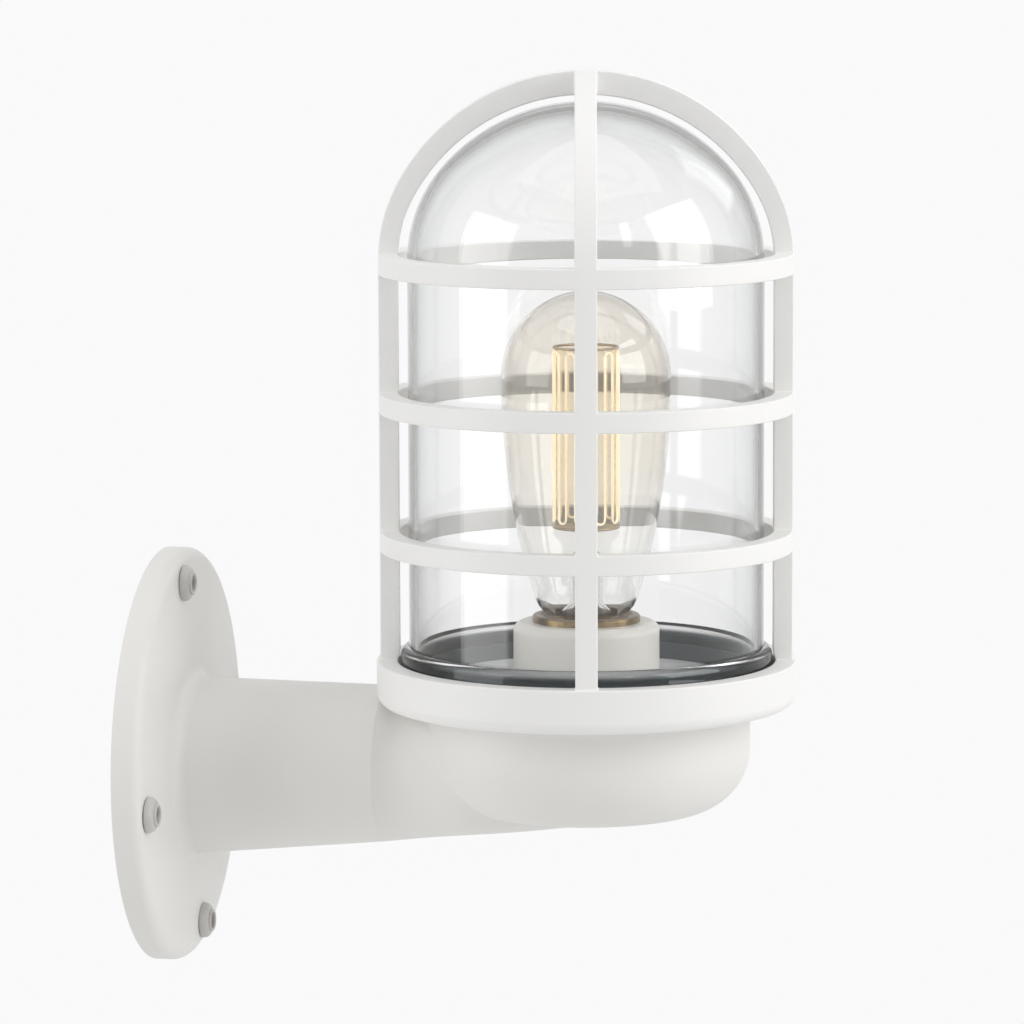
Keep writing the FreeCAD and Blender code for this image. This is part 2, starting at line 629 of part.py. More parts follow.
def holder_strap():
    """Steel strap across the cup that carries the lampholder."""
    body = on_axis("holder_strap")
    low = "holder_low - strap_sheet"
    half = "(strap_width / 2)"
    end = "strap_reach"
    curve = f"({half} - strap_sheet / 2)"
    tip = f"({end} + {half})"
    corners = [
        (tip, "-strap_sheet / 2", curve), (tip, "strap_sheet / 2"), (f"{tip} - {curve}", half, curve),
        (f"-({tip} - {curve})", half), (f"-{tip}", "strap_sheet / 2", curve), (f"-{tip}", "-strap_sheet / 2"),
        (f"-({tip} - {curve})", f"-{half}", curve), (f"{tip} - {curve}", f"-{half}"),
    ]
    pad(body, outline(body, "strap_profile", "XY_Plane", corners, low), "strap", "strap_sheet")
    rounds = [(end, "0", "screw_radius"), (f"-{end}", "0", "screw_radius"), ("0", "0", "plunger_radius * 2")]
    pocket(body, circles(body, "strap_holes", "XY_Plane", rounds, "holder_low"), "holes", "2 * strap_sheet")
    return body


def strap_screws():
    """Two screws that hold the strap on its posts."""
    body = on_axis("strap_screws")
    head = [("strap_reach", "0", "screw_head"), ("-strap_reach", "0", "screw_head")]
    shank = [("strap_reach", "0", "screw_radius"), ("-strap_reach", "0", "screw_radius")]
    pad(body, circles(body, "heads_profile", "XY_Plane", head, "holder_low"), "heads", "screw_head_height")
    shanks = circles(body, "shanks_profile", "XY_Plane", shank, "holder_low")
    pad(body, shanks, "shanks", "strap_sheet + screw_grip", back=True)
    return body


def bulb_glass():
    """Hollow pear-shaped envelope: a round crown, a long gentle taper and a drawn-in root."""
    centre = "bulb_top - bulb_radius"
    fall = f"({centre} - bulb_taper_level)"
    draw = "(bulb_radius - bulb_taper)"
    flank = f"(({fall})^2 + {draw}^2) / (2 * {draw})"
    wall = "bulb_wall"
    corners = [("0", "bulb_root_level"), ("bulb_root", "bulb_root_level"),
               ("bulb_neck", "bulb_neck_level", "bulb_corner"), ("bulb_taper", "bulb_taper_level"),
               ("bulb_radius", centre, flank), ("0", "bulb_top", "bulb_radius")]
    body = turned("bulb_glass", corners)
    inner = [("0", f"bulb_root_level + {wall}"), ("bulb_root", f"bulb_root_level + {wall}"),
             (f"bulb_neck - {wall}", "bulb_neck_level", "bulb_corner"),
             (f"bulb_taper - {wall}", "bulb_taper_level"), (f"bulb_radius - {wall}", centre, flank),
             ("0", f"bulb_top - {wall}", f"bulb_radius - {wall}")]
    turn(body, outline(body, "bulb_hollow_profile", "XZ_Plane", inner), "bulb_hollow", cut=True)
    return body


def bulb_cap():
    """Brass screw cap, drawn in at its foot."""
    sheet_in = "cap_radius - cap_sheet"
    corners = [(sheet_in, "bulb_root_level"), (sheet_in, "cap_low + cap_sheet"),
               ("cap_foot", "cap_low + cap_sheet"), ("cap_foot", "cap_low"), (sheet_in, "cap_low"),
               ("cap_radius", "cap_low + cap_sheet"), ("cap_radius", "bulb_root_level")]
    return turned("bulb_cap", corners)


def cap_insulator():
    """Dark glass cone between the screw cap and the tip."""
    low = "cap_low - cap_insulator"
    corners = [("0", "cap_low + cap_sheet"), ("0", low), ("tip_radius + cap_sheet", low),
               ("cap_foot", "cap_low"), ("cap_foot", "cap_low + cap_sheet")]
    return turned("cap_insulator", corners)


def bulb_tip():
    """Solder contact at the foot of the cap."""
    top = "cap_low - cap_insulator"
    foot = "tip_radius - tip_height"
    corners = [("0", TIP_LOW), (foot, TIP_LOW), ("tip_radius", top, "tip_height"), ("0", top)]
    return turned("bulb_tip", corners)


def bulb_stem():
    """Glass stem that rises from the root and carries the column."""
    low = "bulb_root_level + bulb_wall"
    corners = [("0", low), ("stem_radius * 1.6", low), ("stem_radius", f"{low} + stem_radius"),
               ("stem_radius", "stem_top - stem_radius"), ("0", "stem_top", "stem_radius")]
    return turned("bulb_stem", corners)


def bulb_column():
    """Glass tube inside the bulb."""
    inner = "column_radius - column_wall"
    return turned("bulb_column", [(inner, "column_low"), ("column_radius", "column_low"),
                                  ("column_radius", "column_top"), (inner, "column_top")])


def column_collars():
    """Two metal collars round the ends of the column."""
    body = on_axis("column_collars")
    for name, low in (("low", "column_low"), ("high", "column_top - collar_height")):
        outer = "column_radius + collar_depth"
        ring = [("column_radius", low), (outer, low), (outer, f"{low} + collar_height"),
                ("column_radius", f"{low} + collar_height")]
        turn(body, outline(body, f"{name}_profile", "XZ_Plane", ring), f"{name}_collar")
    return body


def filaments():
    """Slender upright filaments between the collars, spaced round the column."""
    body = on_axis("filaments")
    spot = ("column_radius + collar_depth - filament", "0", "filament")
    rod = pad(body, circles(body, "rod_profile", "XY_Plane", [spot], "column_low + collar_height"), "rod",
              "column_top - column_low - 2 * collar_height")
    polar(body, [rod], "rods", "Z_Axis", 6)
    return body


def terminal_block():
    """Connector block on the cup's floor, with three ways through it."""
    body = on_axis("terminal_block")
    half = "block_length / 2"
    near = "block_place - block_depth / 2"
    far = "block_place + block_depth / 2"
    corners = [(half, near), (half, far), (f"-{half}", far), (f"-{half}", near)]
    pad(body, outline(body, "block_profile", "XY_Plane", corners, CUP_FLOOR), "block", "block_height")
    ways = [(f"{step} * block_length / 3", f"{CUP_FLOOR} + block_height / 2", "lead + lead_play")
            for step in (-1, 0, 1)]
    sketch = circles(body, "ways_profile", "XZ_Plane", ways, f"-({far}) - wall")
    pocket(body, sketch, "ways", "block_depth + 2 * wall", back=True)
    return body


def terminal_screws():
    """Clamp screws in the connector block's top."""
    body = on_axis("terminal_screws")
    spots = [(f"{step} * block_length / 3", f"block_place + {side} * block_depth / 4", "screw_radius")
             for step in (-1, 0, 1) for side in (-1, 1)]
    pad(body, circles(body, "screws_profile", "XY_Plane", spots, f"{CUP_FLOOR} + block_height"), "screws",
        "screw_head_height / 2")
    return body


def rounded_path(spots, radius):
    """Straight runs joined by tangent arcs."""
    edges = []
    start = spots[0]
    for before, spot, after in zip(spots, spots[1:], spots[2:]):
        arrive = (before - spot).normalize()
        leave = (after - spot).normalize()
        half = arrive.getAngle(leave) / 2
        back = radius / math.tan(half)
        first = spot + arrive * back
        last = spot + leave * back
        middle = spot + (arrive + leave).normalize() * (radius / math.sin(half) - radius)
        edges.append(Part.LineSegment(start, first).toShape())
        edges.append(Part.Arc(first, middle, last).toShape())
        start = last
    edges.append(Part.LineSegment(start, spots[-1]).toShape())
    return Part.Wire(edges)


def round_wire(spots, radius, bend):
    """A round wire of one radius along straight runs and arcs."""
    points = [V(*(value(text) for text in spot)) for spot in spots]
    ring = Part.Wire([Part.Circle(points[0], points[1] - points[0], value(radius)).toShape()])
    return rounded_path(points, value(bend)).makePipeShell([ring], True, False)


def plain_feature(label, shape):
    """A piece whose shape is swept in code, placed on the lamp's axis."""
    piece = doc.addObject("Part::Feature", label)
    piece.Shape = shape
    piece.Label = label
    piece.setExpression(".Placement.Base.y", bind("-reach"))
    parts.append(piece)
    return piece


def lead(label, spots):
    """An insulated wire inside the cup."""
    return plain_feature(label, round_wire(spots, "lead", "3 * lead"))


def support_wires():
    """Two bent wires that carry the column on the stem."""
    low = "stem_top - 2 * stem_radius"
    bends = []
    for side in (-1, 1):
        reach = f"{side} * (column_radius - column_wall - wire - wire_play)"
        root = f"{side} * (stem_radius + wire_play)"
        spots = [(root, "0", low), (reach, "0", low), (reach, "0", "column_low + collar_height")]
        bends.append(round_wire(spots, "wire", "3 * wire"))
    return plain_feature("support_wires", Part.makeCompound(bends))


def leads():
    """Live and neutral to the lampholder, and earth to its screw."""
    way = f"{CUP_FLOOR} + block_height / 2"
    near = "block_place - block_depth / 2"
    far = "block_place + block_depth / 2"
    rise = f"{far} + 5 * lead"
    side = "block_length / 3"
    lead("lead_live", [(side, far, way), (side, rise, way), (side, rise, "holder_low")])
    lead("lead_neutral", [(f"-{side}", far, way), (f"-{side}", rise, way), (f"-{side}", rise, "holder_low")])
    lead("lead_earth", [("0", near, way), ("0", "earth_place + screw_head", way)])


def earth_screw():
    """Earth screw and its washer on the cup's floor."""
    body = on_axis("earth_screw")
    spot = [("0", "earth_place", "screw_head")]
    stud = circles(body, "stud_profile", "XY_Plane", spot, CUP_FLOOR)
    pad(body, stud, "stud", "block_height / 2 + lead + screw_head_height")
    return body


wall_plate()
arm_casting()
wall_seal()
fixing_bushes()
entry_bush()
holder_strap()
strap_screws()
holder_body()
screw_shell()
mouth_ring()
contact_plate()
contact_plunger()
terminal_block()
terminal_screws()
earth_screw()
leads()
base_disc()
glass_seal()
glass_dome()
slip_washer()
guard_flange()
guard_ribs()
for step, label in enumerate(("guard_hoop_low", "guard_hoop_middle", "guard_hoop_high")):
    guard_hoop(label, step)
bulb_tip()
bulb_cap()
cap_insulator()
bulb_glass()
bulb_stem()
support_wires()
bulb_column()
column_collars()
filaments()
doc.recompute()

failed = [item.Name for item in doc.Objects if "Invalid" in item.State or "Error" in item.State]
if failed:
    raise RuntimeError(f"these failed: {failed}")
for piece in parts:
    if piece.Shape.isNull() or not piece.Shape.isValid():
        raise RuntimeError(f"{piece.Label} has no valid shape")
    print(piece.Label, len(piece.Shape.Solids), round(piece.Shape.Volume, 1))

os.makedirs("parts", exist_ok=True)
for piece in parts:
    piece.Shape.exportStep(os.path.join("parts", piece.Label + ".step"))
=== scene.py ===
# %% [markdown]
# # Cage wall light
# A white cast wall light with a clear glass dome in a ribbed guard and a pear-shaped smoked lamp bulb.
# The engineering model comes in as a fixed frame. Each cell below dresses one part of it: the camera and
# the lamps first, then the finishes, then the pieces that need a finer mesh than the solids have.

# %% Load the frame
import bmesh
import bpy
import math
from mathutils import Matrix, Vector


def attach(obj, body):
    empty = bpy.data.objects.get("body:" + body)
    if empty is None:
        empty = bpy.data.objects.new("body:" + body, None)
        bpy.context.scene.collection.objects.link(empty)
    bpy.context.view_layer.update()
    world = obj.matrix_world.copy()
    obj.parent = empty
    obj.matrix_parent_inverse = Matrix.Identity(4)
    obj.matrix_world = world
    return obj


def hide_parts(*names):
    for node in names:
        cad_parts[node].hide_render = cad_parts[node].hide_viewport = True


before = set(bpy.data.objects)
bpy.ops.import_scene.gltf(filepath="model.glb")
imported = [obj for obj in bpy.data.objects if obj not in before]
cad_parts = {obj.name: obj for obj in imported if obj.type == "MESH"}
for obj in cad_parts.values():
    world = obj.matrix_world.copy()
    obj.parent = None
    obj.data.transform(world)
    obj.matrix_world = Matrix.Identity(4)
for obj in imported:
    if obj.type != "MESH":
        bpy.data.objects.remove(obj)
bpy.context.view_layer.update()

MM = 0.001
LAMP_Y = -0.165  # the lamp's upright axis, in metres out from the wall
scene = bpy.context.scene
print("solids loaded:", len(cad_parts))

# %% [markdown]
# ## Camera
# A long lens stands two metres away, a little above the light and nearly square to its arm. The angles come
# from matching the rings of the guard, whose circles show as ellipses, so they fix both height and tilt.
# A matrix is set from the view direction, because it also holds the small roll of the picture.

# %% Camera
SENSOR_WIDTH = 36
LENS = 187.74
CAMERA_PLACE = (-1.96651, -0.52940, 0.34745)
CAMERA_TURN, CAMERA_TILT, CAMERA_ROLL = -78.6993, 7.1397, -0.1938


def view_matrix(place, turn, tilt, roll):
    """The camera's matrix from its place and its turn, downward tilt and roll in degrees."""
    turn, tilt, roll = (math.radians(angle) for angle in (turn, tilt, roll))
    ahead = Vector((-math.sin(turn) * math.cos(tilt), math.cos(turn) * math.cos(tilt), -math.sin(tilt)))
    right = ahead.cross(Vector((0, 0, 1))).normalized()
    up = right.cross(ahead)
    side = right * math.cos(roll) + up * math.sin(roll)
    top = up * math.cos(roll) - right * math.sin(roll)
    rows = Matrix((side, top, -ahead)).transposed().to_4x4()
    rows.translation = place
    return rows


camera_data = bpy.data.cameras.new("product_camera")
camera_data.sensor_width = SENSOR_WIDTH
camera_data.lens = LENS
camera = bpy.data.objects.new("product_camera", camera_data)
scene.collection.objects.link(camera)
camera.matrix_world = view_matrix(Vector(CAMERA_PLACE), CAMERA_TURN, CAMERA_TILT, CAMERA_ROLL)
scene.camera = camera
print("camera at", [round(value, 3) for value in camera.location])

# %% [markdown]
# ## Lamps
# White enamel shows its shape only by soft changes of grey, so the light is one broad lamp on the open side,
# a weaker one by the wall and one above. A tall narrow one and a square one are there for the glass: their
# reflections run down it and show that it is round.

# %% Lamps
MIDDLE = (0, -0.13, 0.1)
DOME_MIDDLE = (0, LAMP_Y, 0.16)
DOME_TOP = (0, LAMP_Y, 0.2)


def soft_lamp(name, place, aim, size, power, colour=(1, 1, 1)):
    """A rectangular lamp that faces a point; its size is width and height in metres."""
    data = bpy.data.lights.new(name, "AREA")
    data.shape = "RECTANGLE"
    data.size, data.size_y = size
    data.energy = power
    data.color = colour
    lamp = bpy.data.objects.new(name, data)
    scene.collection.objects.link(lamp)
    lamp.location = place
    lamp.rotation_euler = (Vector(aim) - Vector(place)).to_track_quat("-Z", "Y").to_euler()
    return lamp


soft_lamp("room_lamp", (-0.35, -2.1, 0.8), MIDDLE, size=(1.5, 1.7), power=23.0, colour=(1, 0.99, 0.975))
soft_lamp("wall_side_lamp", (-1.1, 1.7, 0.55), MIDDLE, size=(1.5, 1.8), power=16.5, colour=(1, 0.99, 0.98))
top_lamp = soft_lamp("top_lamp", (-0.1, -0.25, 1.7), MIDDLE, size=(1.6, 1.6), power=8.0)
top_lamp.visible_glossy = False
soft_lamp("strip_lamp", (-1.5, -1.35, 1.1), DOME_MIDDLE, size=(0.22, 0.7), power=0.9)
soft_lamp("window_lamp", (1.4, -1.3, 1.3), DOME_TOP, size=(0.7, 1.0), power=2.0)
print("lamps:", len(bpy.data.lights))

# %% [markdown]
# ## Air and paper
# The world gives a level fill to all that it lights. The camera, polished surfaces and glass see white paper
# in its place, as a paper sweep in a studio would look. Light Path tells the two uses apart, which keeps the
# background white without making the fill as strong as the paper is bright.

# %% World
PAPER = (0.952, 0.952, 0.956, 1)
FILL = (0.98, 0.985, 1, 1)
FILL_STRENGTH = 0.52

world = bpy.data.worlds.new("studio_air")
scene.world = world
world.use_nodes = True
air = world.node_tree
air.nodes.clear()
rays = air.nodes.new("ShaderNodeLightPath")
paper_seen = rays.outputs["Is Camera Ray"]
for kind in ("Is Transmission Ray", "Is Glossy Ray"):
    either = air.nodes.new("ShaderNodeMath")
    either.operation = "MAXIMUM"
    air.links.new(paper_seen, either.inputs[0])
    air.links.new(rays.outputs[kind], either.inputs[1])
    paper_seen = either.outputs[0]
blend = air.nodes.new("ShaderNodeMixShader")
air.links.new(paper_seen, blend.inputs["Fac"])
for socket, colour, strength in ((blend.inputs[1], FILL, FILL_STRENGTH), (blend.inputs[2], PAPER, 1.0)):
    layer = air.nodes.new("ShaderNodeBackground")
    layer.inputs["Color"].default_value = colour
    layer.inputs["Strength"].default_value = strength
    air.links.new(layer.outputs[0], socket)
target = air.nodes.new("ShaderNodeOutputWorld")
air.links.new(blend.outputs[0], target.inputs["Surface"])
scene.view_settings.view_transform = "Standard"
print("world nodes:", len(air.nodes))

# %% [markdown]
# ## Node helpers
# A material is a small graph, and most of its steps are the same few nodes. These helpers place one node
# each and return the socket that goes on, so a finish can be read from top to bottom like a sum.

# %% Node helpers
FLOAT = "NodeSocketFloat"
COLOUR = "NodeSocketColor"
COLOUR_A, COLOUR_B, COLOUR_OUT = 6, 7, 2  # a Mix node has sockets for every kind of value


def feed(tree, socket, source):
    """Give an input a plain value, or a link where the source is a socket."""
    if isinstance(source, bpy.types.NodeSocket):
        tree.links.new(source, socket)
    else:
        socket.default_value = source


def math_node(tree, operation, first, second):
    """A math node; each side is a number or a socket."""
    node = tree.nodes.new("ShaderNodeMath")
    node.operation = operation
    feed(tree, node.inputs[0], first)
    feed(tree, node.inputs[1], second)
    return node.outputs[0]


def noise_node(tree, size, detail, roughness=0.5):
    """Noise over the object's own coordinates; size is a number or a socket, in bumps per metre."""
    place = tree.nodes.new("ShaderNodeTexCoord")
    node = tree.nodes.new("ShaderNodeTexNoise")
    node.inputs["Detail"].default_value = detail
    node.inputs["Roughness"].default_value = roughness
    tree.links.new(place.outputs["Object"], node.inputs["Vector"])
    feed(tree, node.inputs["Scale"], size)
    return node.outputs["Fac"]


def range_node(tree, source, low, high, curve="LINEAR"):
    """A value stretched so that low becomes 0 and high becomes 1."""
    node = tree.nodes.new("ShaderNodeMapRange")
    node.interpolation_type = curve
    node.inputs["From Min"].default_value = low
    node.inputs["From Max"].default_value = high
    tree.links.new(source, node.inputs["Value"])
    return node.outputs["Result"]


def mix_colours(tree, share, first, second):
    """The first colour, changed to the second by a share."""
    node = tree.nodes.new("ShaderNodeMix")
    node.data_type = "RGBA"
    tree.links.new(share, node.inputs["Factor"])
    feed(tree, node.inputs[COLOUR_A], first)
    feed(tree, node.inputs[COLOUR_B], second)
    return node.outputs[COLOUR_OUT]


def new_group(name, inputs, outputs):
    """An empty group with named float or colour sockets; returns it with its input and output nodes."""
    group = bpy.data.node_groups.new(name, "ShaderNodeTree")
    for label, kind, default in inputs:
        socket = group.interface.new_socket(label, in_out="INPUT", socket_type=kind)
        socket.default_value = default
    for label, kind in outputs:
        group.interface.new_socket(label, in_out="OUTPUT", socket_type=kind)
    return group, group.nodes.new("NodeGroupInput"), group.nodes.new("NodeGroupOutput")


print("helpers ready for", FLOAT, "and", COLOUR)

# %% [markdown]
# ### Coating peel
# Several finishes need the same small effects. Each is a node group with its own named inputs, so one effect
# is made once and every finish sets its own strength. The first is the faint peel of a sprayed and baked
# coating. It is noise at two sizes, because real peel has soft dimples with a finer grain on them.

# %% Coating peel
def build_peel():
    """Height of a sprayed and baked coating: soft dimples with a finer grain on them."""
    group, given, result = new_group("coating_peel", [("Dimples", FLOAT, 900), ("Grain", FLOAT, 0.3)],
                                     [("Height", FLOAT)])
    soft = noise_node(group, given.outputs["Dimples"], 1.0)
    finer = math_node(group, "MULTIPLY", given.outputs["Dimples"], 4.0)
    fine = noise_node(group, finer, 2.0)
    grain = math_node(group, "MULTIPLY", fine, given.outputs["Grain"])
    group.links.new(math_node(group, "ADD", soft, grain), result.inputs["Height"])
    return group


PEEL = build_peel()
print("peel nodes:", len(PEEL.nodes))

# %% [markdown]
# ### Tone drift
# No coating or metal has quite the same tone all over. Large soft patches lead from the main colour to a
# second one close to it. A picture of stains could do the same, but noise has no seams and no edges.

# %% Tone drift
def build_drift():
    """A base colour that wanders slightly towards a second one in large soft patches."""
    white = (1, 1, 1, 1)
    group, given, result = new_group(
        "tone_drift", [("Color", COLOUR, white), ("Other", COLOUR, white), ("Patches", FLOAT, 20)],
        [("Color", COLOUR)])
    patches = range_node(group, noise_node(group, given.outputs["Patches"], 3.0), 0.35, 0.65)
    colour = mix_colours(group, patches, given.outputs["Color"], given.outputs["Other"])
    group.links.new(colour, result.inputs["Color"])
    return group


DRIFT = build_drift()
print("drift nodes:", len(DRIFT.nodes))

# %% [markdown]
# ### Settled dust
# Dust lies only on what looks up, so the mask is the upward part of the normal. Raised to a power it keeps
# off the slopes, and noise breaks it up so that it doesn't read as a second coat of paint.

# %% Settled dust
def build_dust():
    """A mask of thin dust: only where the surface looks up, broken up by noise."""
    group, given, result = new_group("settled_dust", [("Amount", FLOAT, 0.3), ("Specks", FLOAT, 400)],
                                     [("Mask", FLOAT)])
    normal = group.nodes.new("ShaderNodeNewGeometry")
    split = group.nodes.new("ShaderNodeSeparateXYZ")
    group.links.new(normal.outputs["Normal"], split.inputs[0])
    up = math_node(group, "SMOOTH_MAX", split.outputs["Z"], 0.0)
    flat = math_node(group, "POWER", up, 3.0)
    specks = noise_node(group, given.outputs["Specks"], 4.0, 0.65)
    rough = math_node(group, "MULTIPLY", flat, specks)
    group.links.new(math_node(group, "MULTIPLY", rough, given.outputs["Amount"]), result.inputs["Mask"])
    return group


DUST = build_dust()
print("dust nodes:", len(DUST.nodes))

# %% [markdown]
# ### Rubbed sheen
# Handling and wiping leave a surface a little smoother here and duller there. This group swings the
# roughness about a middle value, which breaks up a highlight without changing the colour.

# %% Rubbed roughness
def build_rub():
    """Roughness that varies in fine uneven rubbing around a middle value."""
    group, given, result = new_group(
        "rubbed_sheen", [("Middle", FLOAT, 0.4), ("Spread", FLOAT, 0.15), ("Size", FLOAT, 300)],
        [("Roughness", FLOAT)])
    rub = noise_node(group, given.outputs["Size"], 5.0, 0.6)
    centred = math_node(group, "SUBTRACT", rub, 0.5)
    swing = math_node(group, "MULTIPLY", centred, given.outputs["Spread"])
    group.links.new(math_node(group, "ADD", given.outputs["Middle"], swing), result.inputs["Roughness"])
    return group


RUB = build_rub()
print("effects:", [group.name for group in bpy.data.node_groups])

# %% [markdown]
# ## Finishes
# Every finish is a Principled shader fed by the effects above. One long table of settings would hide what
# differs, so each kind of material has its own maker: coating, moulded pieces, metal and glass.

# %% Finish helpers
SHADER = "Principled BSDF"


def new_finish(name):
    """A node material with its Principled shader."""
    material = bpy.data.materials.new(name)
    material.use_nodes = True
    return material, material.node_tree, material.node_tree.nodes[SHADER]


def place_group(tree, group, **values):
    """A group placed in a material with its inputs set."""
    node = tree.nodes.new("ShaderNodeGroup")
    node.node_tree = group
    for label, setting in values.items():
        node.inputs[label].default_value = setting
    return node


def add_bump(tree, shader, height, strength, distance):
    """Relief in the normal; distance is the full height of the relief in metres."""
    bump = tree.nodes.new("ShaderNodeBump")
    bump.inputs["Strength"].default_value = strength
    bump.inputs["Distance"].default_value = distance
    tree.links.new(height, bump.inputs["Height"])
    tree.links.new(bump.outputs["Normal"], shader.inputs["Normal"])


def add_colour(tree, shader, colour, other, patches):
    """Base colour that drifts between two tones; returns its socket, so that more can be mixed over it."""
    drift = place_group(tree, DRIFT, Color=colour + (1,), Other=other + (1,), Patches=patches)
    tree.links.new(drift.outputs["Color"], shader.inputs["Base Color"])
    return drift.outputs["Color"]


def add_rub(tree, shader, middle, spread, size):
    """Roughness that swings about a middle value."""
    rub = place_group(tree, RUB, Middle=middle, Spread=spread, Size=size)
    tree.links.new(rub.outputs["Roughness"], shader.inputs["Roughness"])


print("finishes are built on the", SHADER)

# %% [markdown]
# ### White coating
# The castings are powder coated: a hard white film with a low sheen and a barely visible peel. The peel is
# a bump of under a hundredth of a millimetre. Dust is mixed over the colour only where a face looks up.

# %% White coating
DUST_COLOUR = (0.62, 0.60, 0.56, 1)


def coating(name, colour, other, roughness, peel, dust=0.10, dimples=900.0):
    """Sprayed and baked white film."""
    material, tree, shader = new_finish(name)
    base = add_colour(tree, shader, colour, other, patches=14.0)
    settled = place_group(tree, DUST, Amount=dust, Specks=350.0)
    dusty = mix_colours(tree, settled.outputs["Mask"], base, DUST_COLOUR)
    tree.links.new(dusty, shader.inputs["Base Color"])
    add_rub(tree, shader, roughness, spread=0.10, size=120.0)
    grain = place_group(tree, PEEL, Dimples=dimples, Grain=0.35)
    add_bump(tree, shader, grain.outputs["Height"], strength=peel, distance=0.00005)
    shader.inputs["IOR"].default_value = 1.5
    return material


ENAMEL = coating("white_coating", (0.805, 0.795, 0.768), (0.790, 0.781, 0.755), roughness=0.46, peel=0.35)
GUARD_ENAMEL = coating("white_guard_coating", (0.885, 0.880, 0.862), (0.872, 0.867, 0.850),
                       roughness=0.42, peel=0.30, dust=0.04)
DISC_ENAMEL = coating("glossy_disc_coating", (0.80, 0.81, 0.815), (0.78, 0.788, 0.795),
                      roughness=0.12, peel=0.10, dust=0.03)
PORCELAIN = coating("glazed_porcelain", (0.68, 0.67, 0.635), (0.655, 0.645, 0.61),
                    roughness=0.33, peel=0.15, dust=0.02, dimples=260.0)
print("coatings:", len(bpy.data.materials))

# %% [markdown]
# ### Rubber and moulded pieces
# Rubber has no clear highlight and a fine even grain. The sealing bushes are a paler moulded polymer with a
# satin skin. One maker serves all of them, because only colour, roughness and grain differ. Each line gives
# the two colours, then the roughness and the strength of the grain.

# %% Rubber and polymer
def moulded(name, colour, other, roughness, grain):
    """Moulded rubber or polymer with a fine grained skin."""
    material, tree, shader = new_finish(name)
    add_colour(tree, shader, colour, other, patches=60.0)
    add_rub(tree, shader, roughness, spread=0.12, size=500.0)
    skin = place_group(tree, PEEL, Dimples=2400.0, Grain=0.8)
    add_bump(tree, shader, skin.outputs["Height"], strength=grain, distance=0.00004)
    return material


SEAL_RUBBER = moulded("wall_seal_rubber", (0.10, 0.10, 0.10), (0.13, 0.13, 0.13), 0.75, 0.5)
DARK_RUBBER = moulded("glass_seal_rubber", (0.030, 0.042, 0.048), (0.040, 0.052, 0.058), 0.45, 0.3)
BLACK_RUBBER = moulded("entry_rubber", (0.028, 0.028, 0.028), (0.045, 0.045, 0.045), 0.7, 0.5)
BUSH_POLYMER = moulded("bush_polymer", (0.56, 0.545, 0.52), (0.52, 0.505, 0.48), 0.38, 0.2)
BLOCK_POLYMER = moulded("connector_polymer", (0.72, 0.71, 0.66), (0.68, 0.67, 0.62), 0.5, 0.2)
WASHER_POLYMER = moulded("washer_polymer", (0.45, 0.46, 0.46), (0.40, 0.41, 0.41), 0.5, 0.2)
BROWN_SHEATH = moulded("brown_sheath", (0.13, 0.05, 0.02), (0.11, 0.042, 0.018), 0.42, 0.15)
BLUE_SHEATH = moulded("blue_sheath", (0.02, 0.08, 0.36), (0.018, 0.07, 0.31), 0.42, 0.15)
GREEN_SHEATH = moulded("green_sheath", (0.16, 0.42, 0.05), (0.14, 0.37, 0.045), 0.42, 0.15)
CREAM_COATING = moulded("filament_coating", (0.95, 0.88, 0.70), (0.92, 0.82, 0.60), 0.55, 0.2)
BLACK_GLASS = moulded("cap_black_glass", (0.012, 0.012, 0.014), (0.02, 0.02, 0.022), 0.12, 0.1)
print("coatings and moulded finishes:", len(bpy.data.materials))

# %% [markdown]
# ### Painted glow of the strands
# The coated strands look warm and lighter than a painted wire would. A weak painted glow does this without a
# lamp inside the bulb. It goes through the same drift, so it is stronger in some random patches than in
# others.

# %% Filament glow
WARM_LIGHT = (1.0, 0.90, 0.70, 1)
DEEPER_LIGHT = (1.0, 0.81, 0.525, 1)


def add_painted_glow(material, strength):
    """A weak painted glow on a coated strand, though there is no lamp in the bulb, in random patches."""
    tree = material.node_tree
    glow = place_group(tree, DRIFT, Color=WARM_LIGHT, Other=DEEPER_LIGHT, Patches=90.0)
    tree.links.new(glow.outputs["Color"], tree.nodes[SHADER].inputs["Emission Color"])
    tree.nodes[SHADER].inputs["Emission Strength"].default_value = strength


add_painted_glow(CREAM_COATING, strength=0.5)
print("glowing finish:", CREAM_COATING.name)

# %% [markdown]
# ### Metals
# The lampholder's ring is brass that has gone brown and dull in patches, the screws are bright zinc, and the
# wires are dark. Drift between a clean and a tarnished colour gives the patches, and the rubbing breaks up
# the highlight, so no metal is one flat tone. Each line gives both colours, then the roughness.

# %% Metals
def metal(name, colour, tarnish, roughness):
    """Bare metal with tarnish in patches and a rubbed surface."""
    material, tree, shader = new_finish(name)
    add_colour(tree, shader, colour, tarnish, patches=180.0)
    shader.inputs["Metallic"].default_value = 1.0
    add_rub(tree, shader, roughness, spread=0.3, size=900.0)
    worn = place_group(tree, PEEL, Dimples=1500.0, Grain=0.6)
    add_bump(tree, shader, worn.outputs["Height"], strength=0.25, distance=0.00003)
    return material


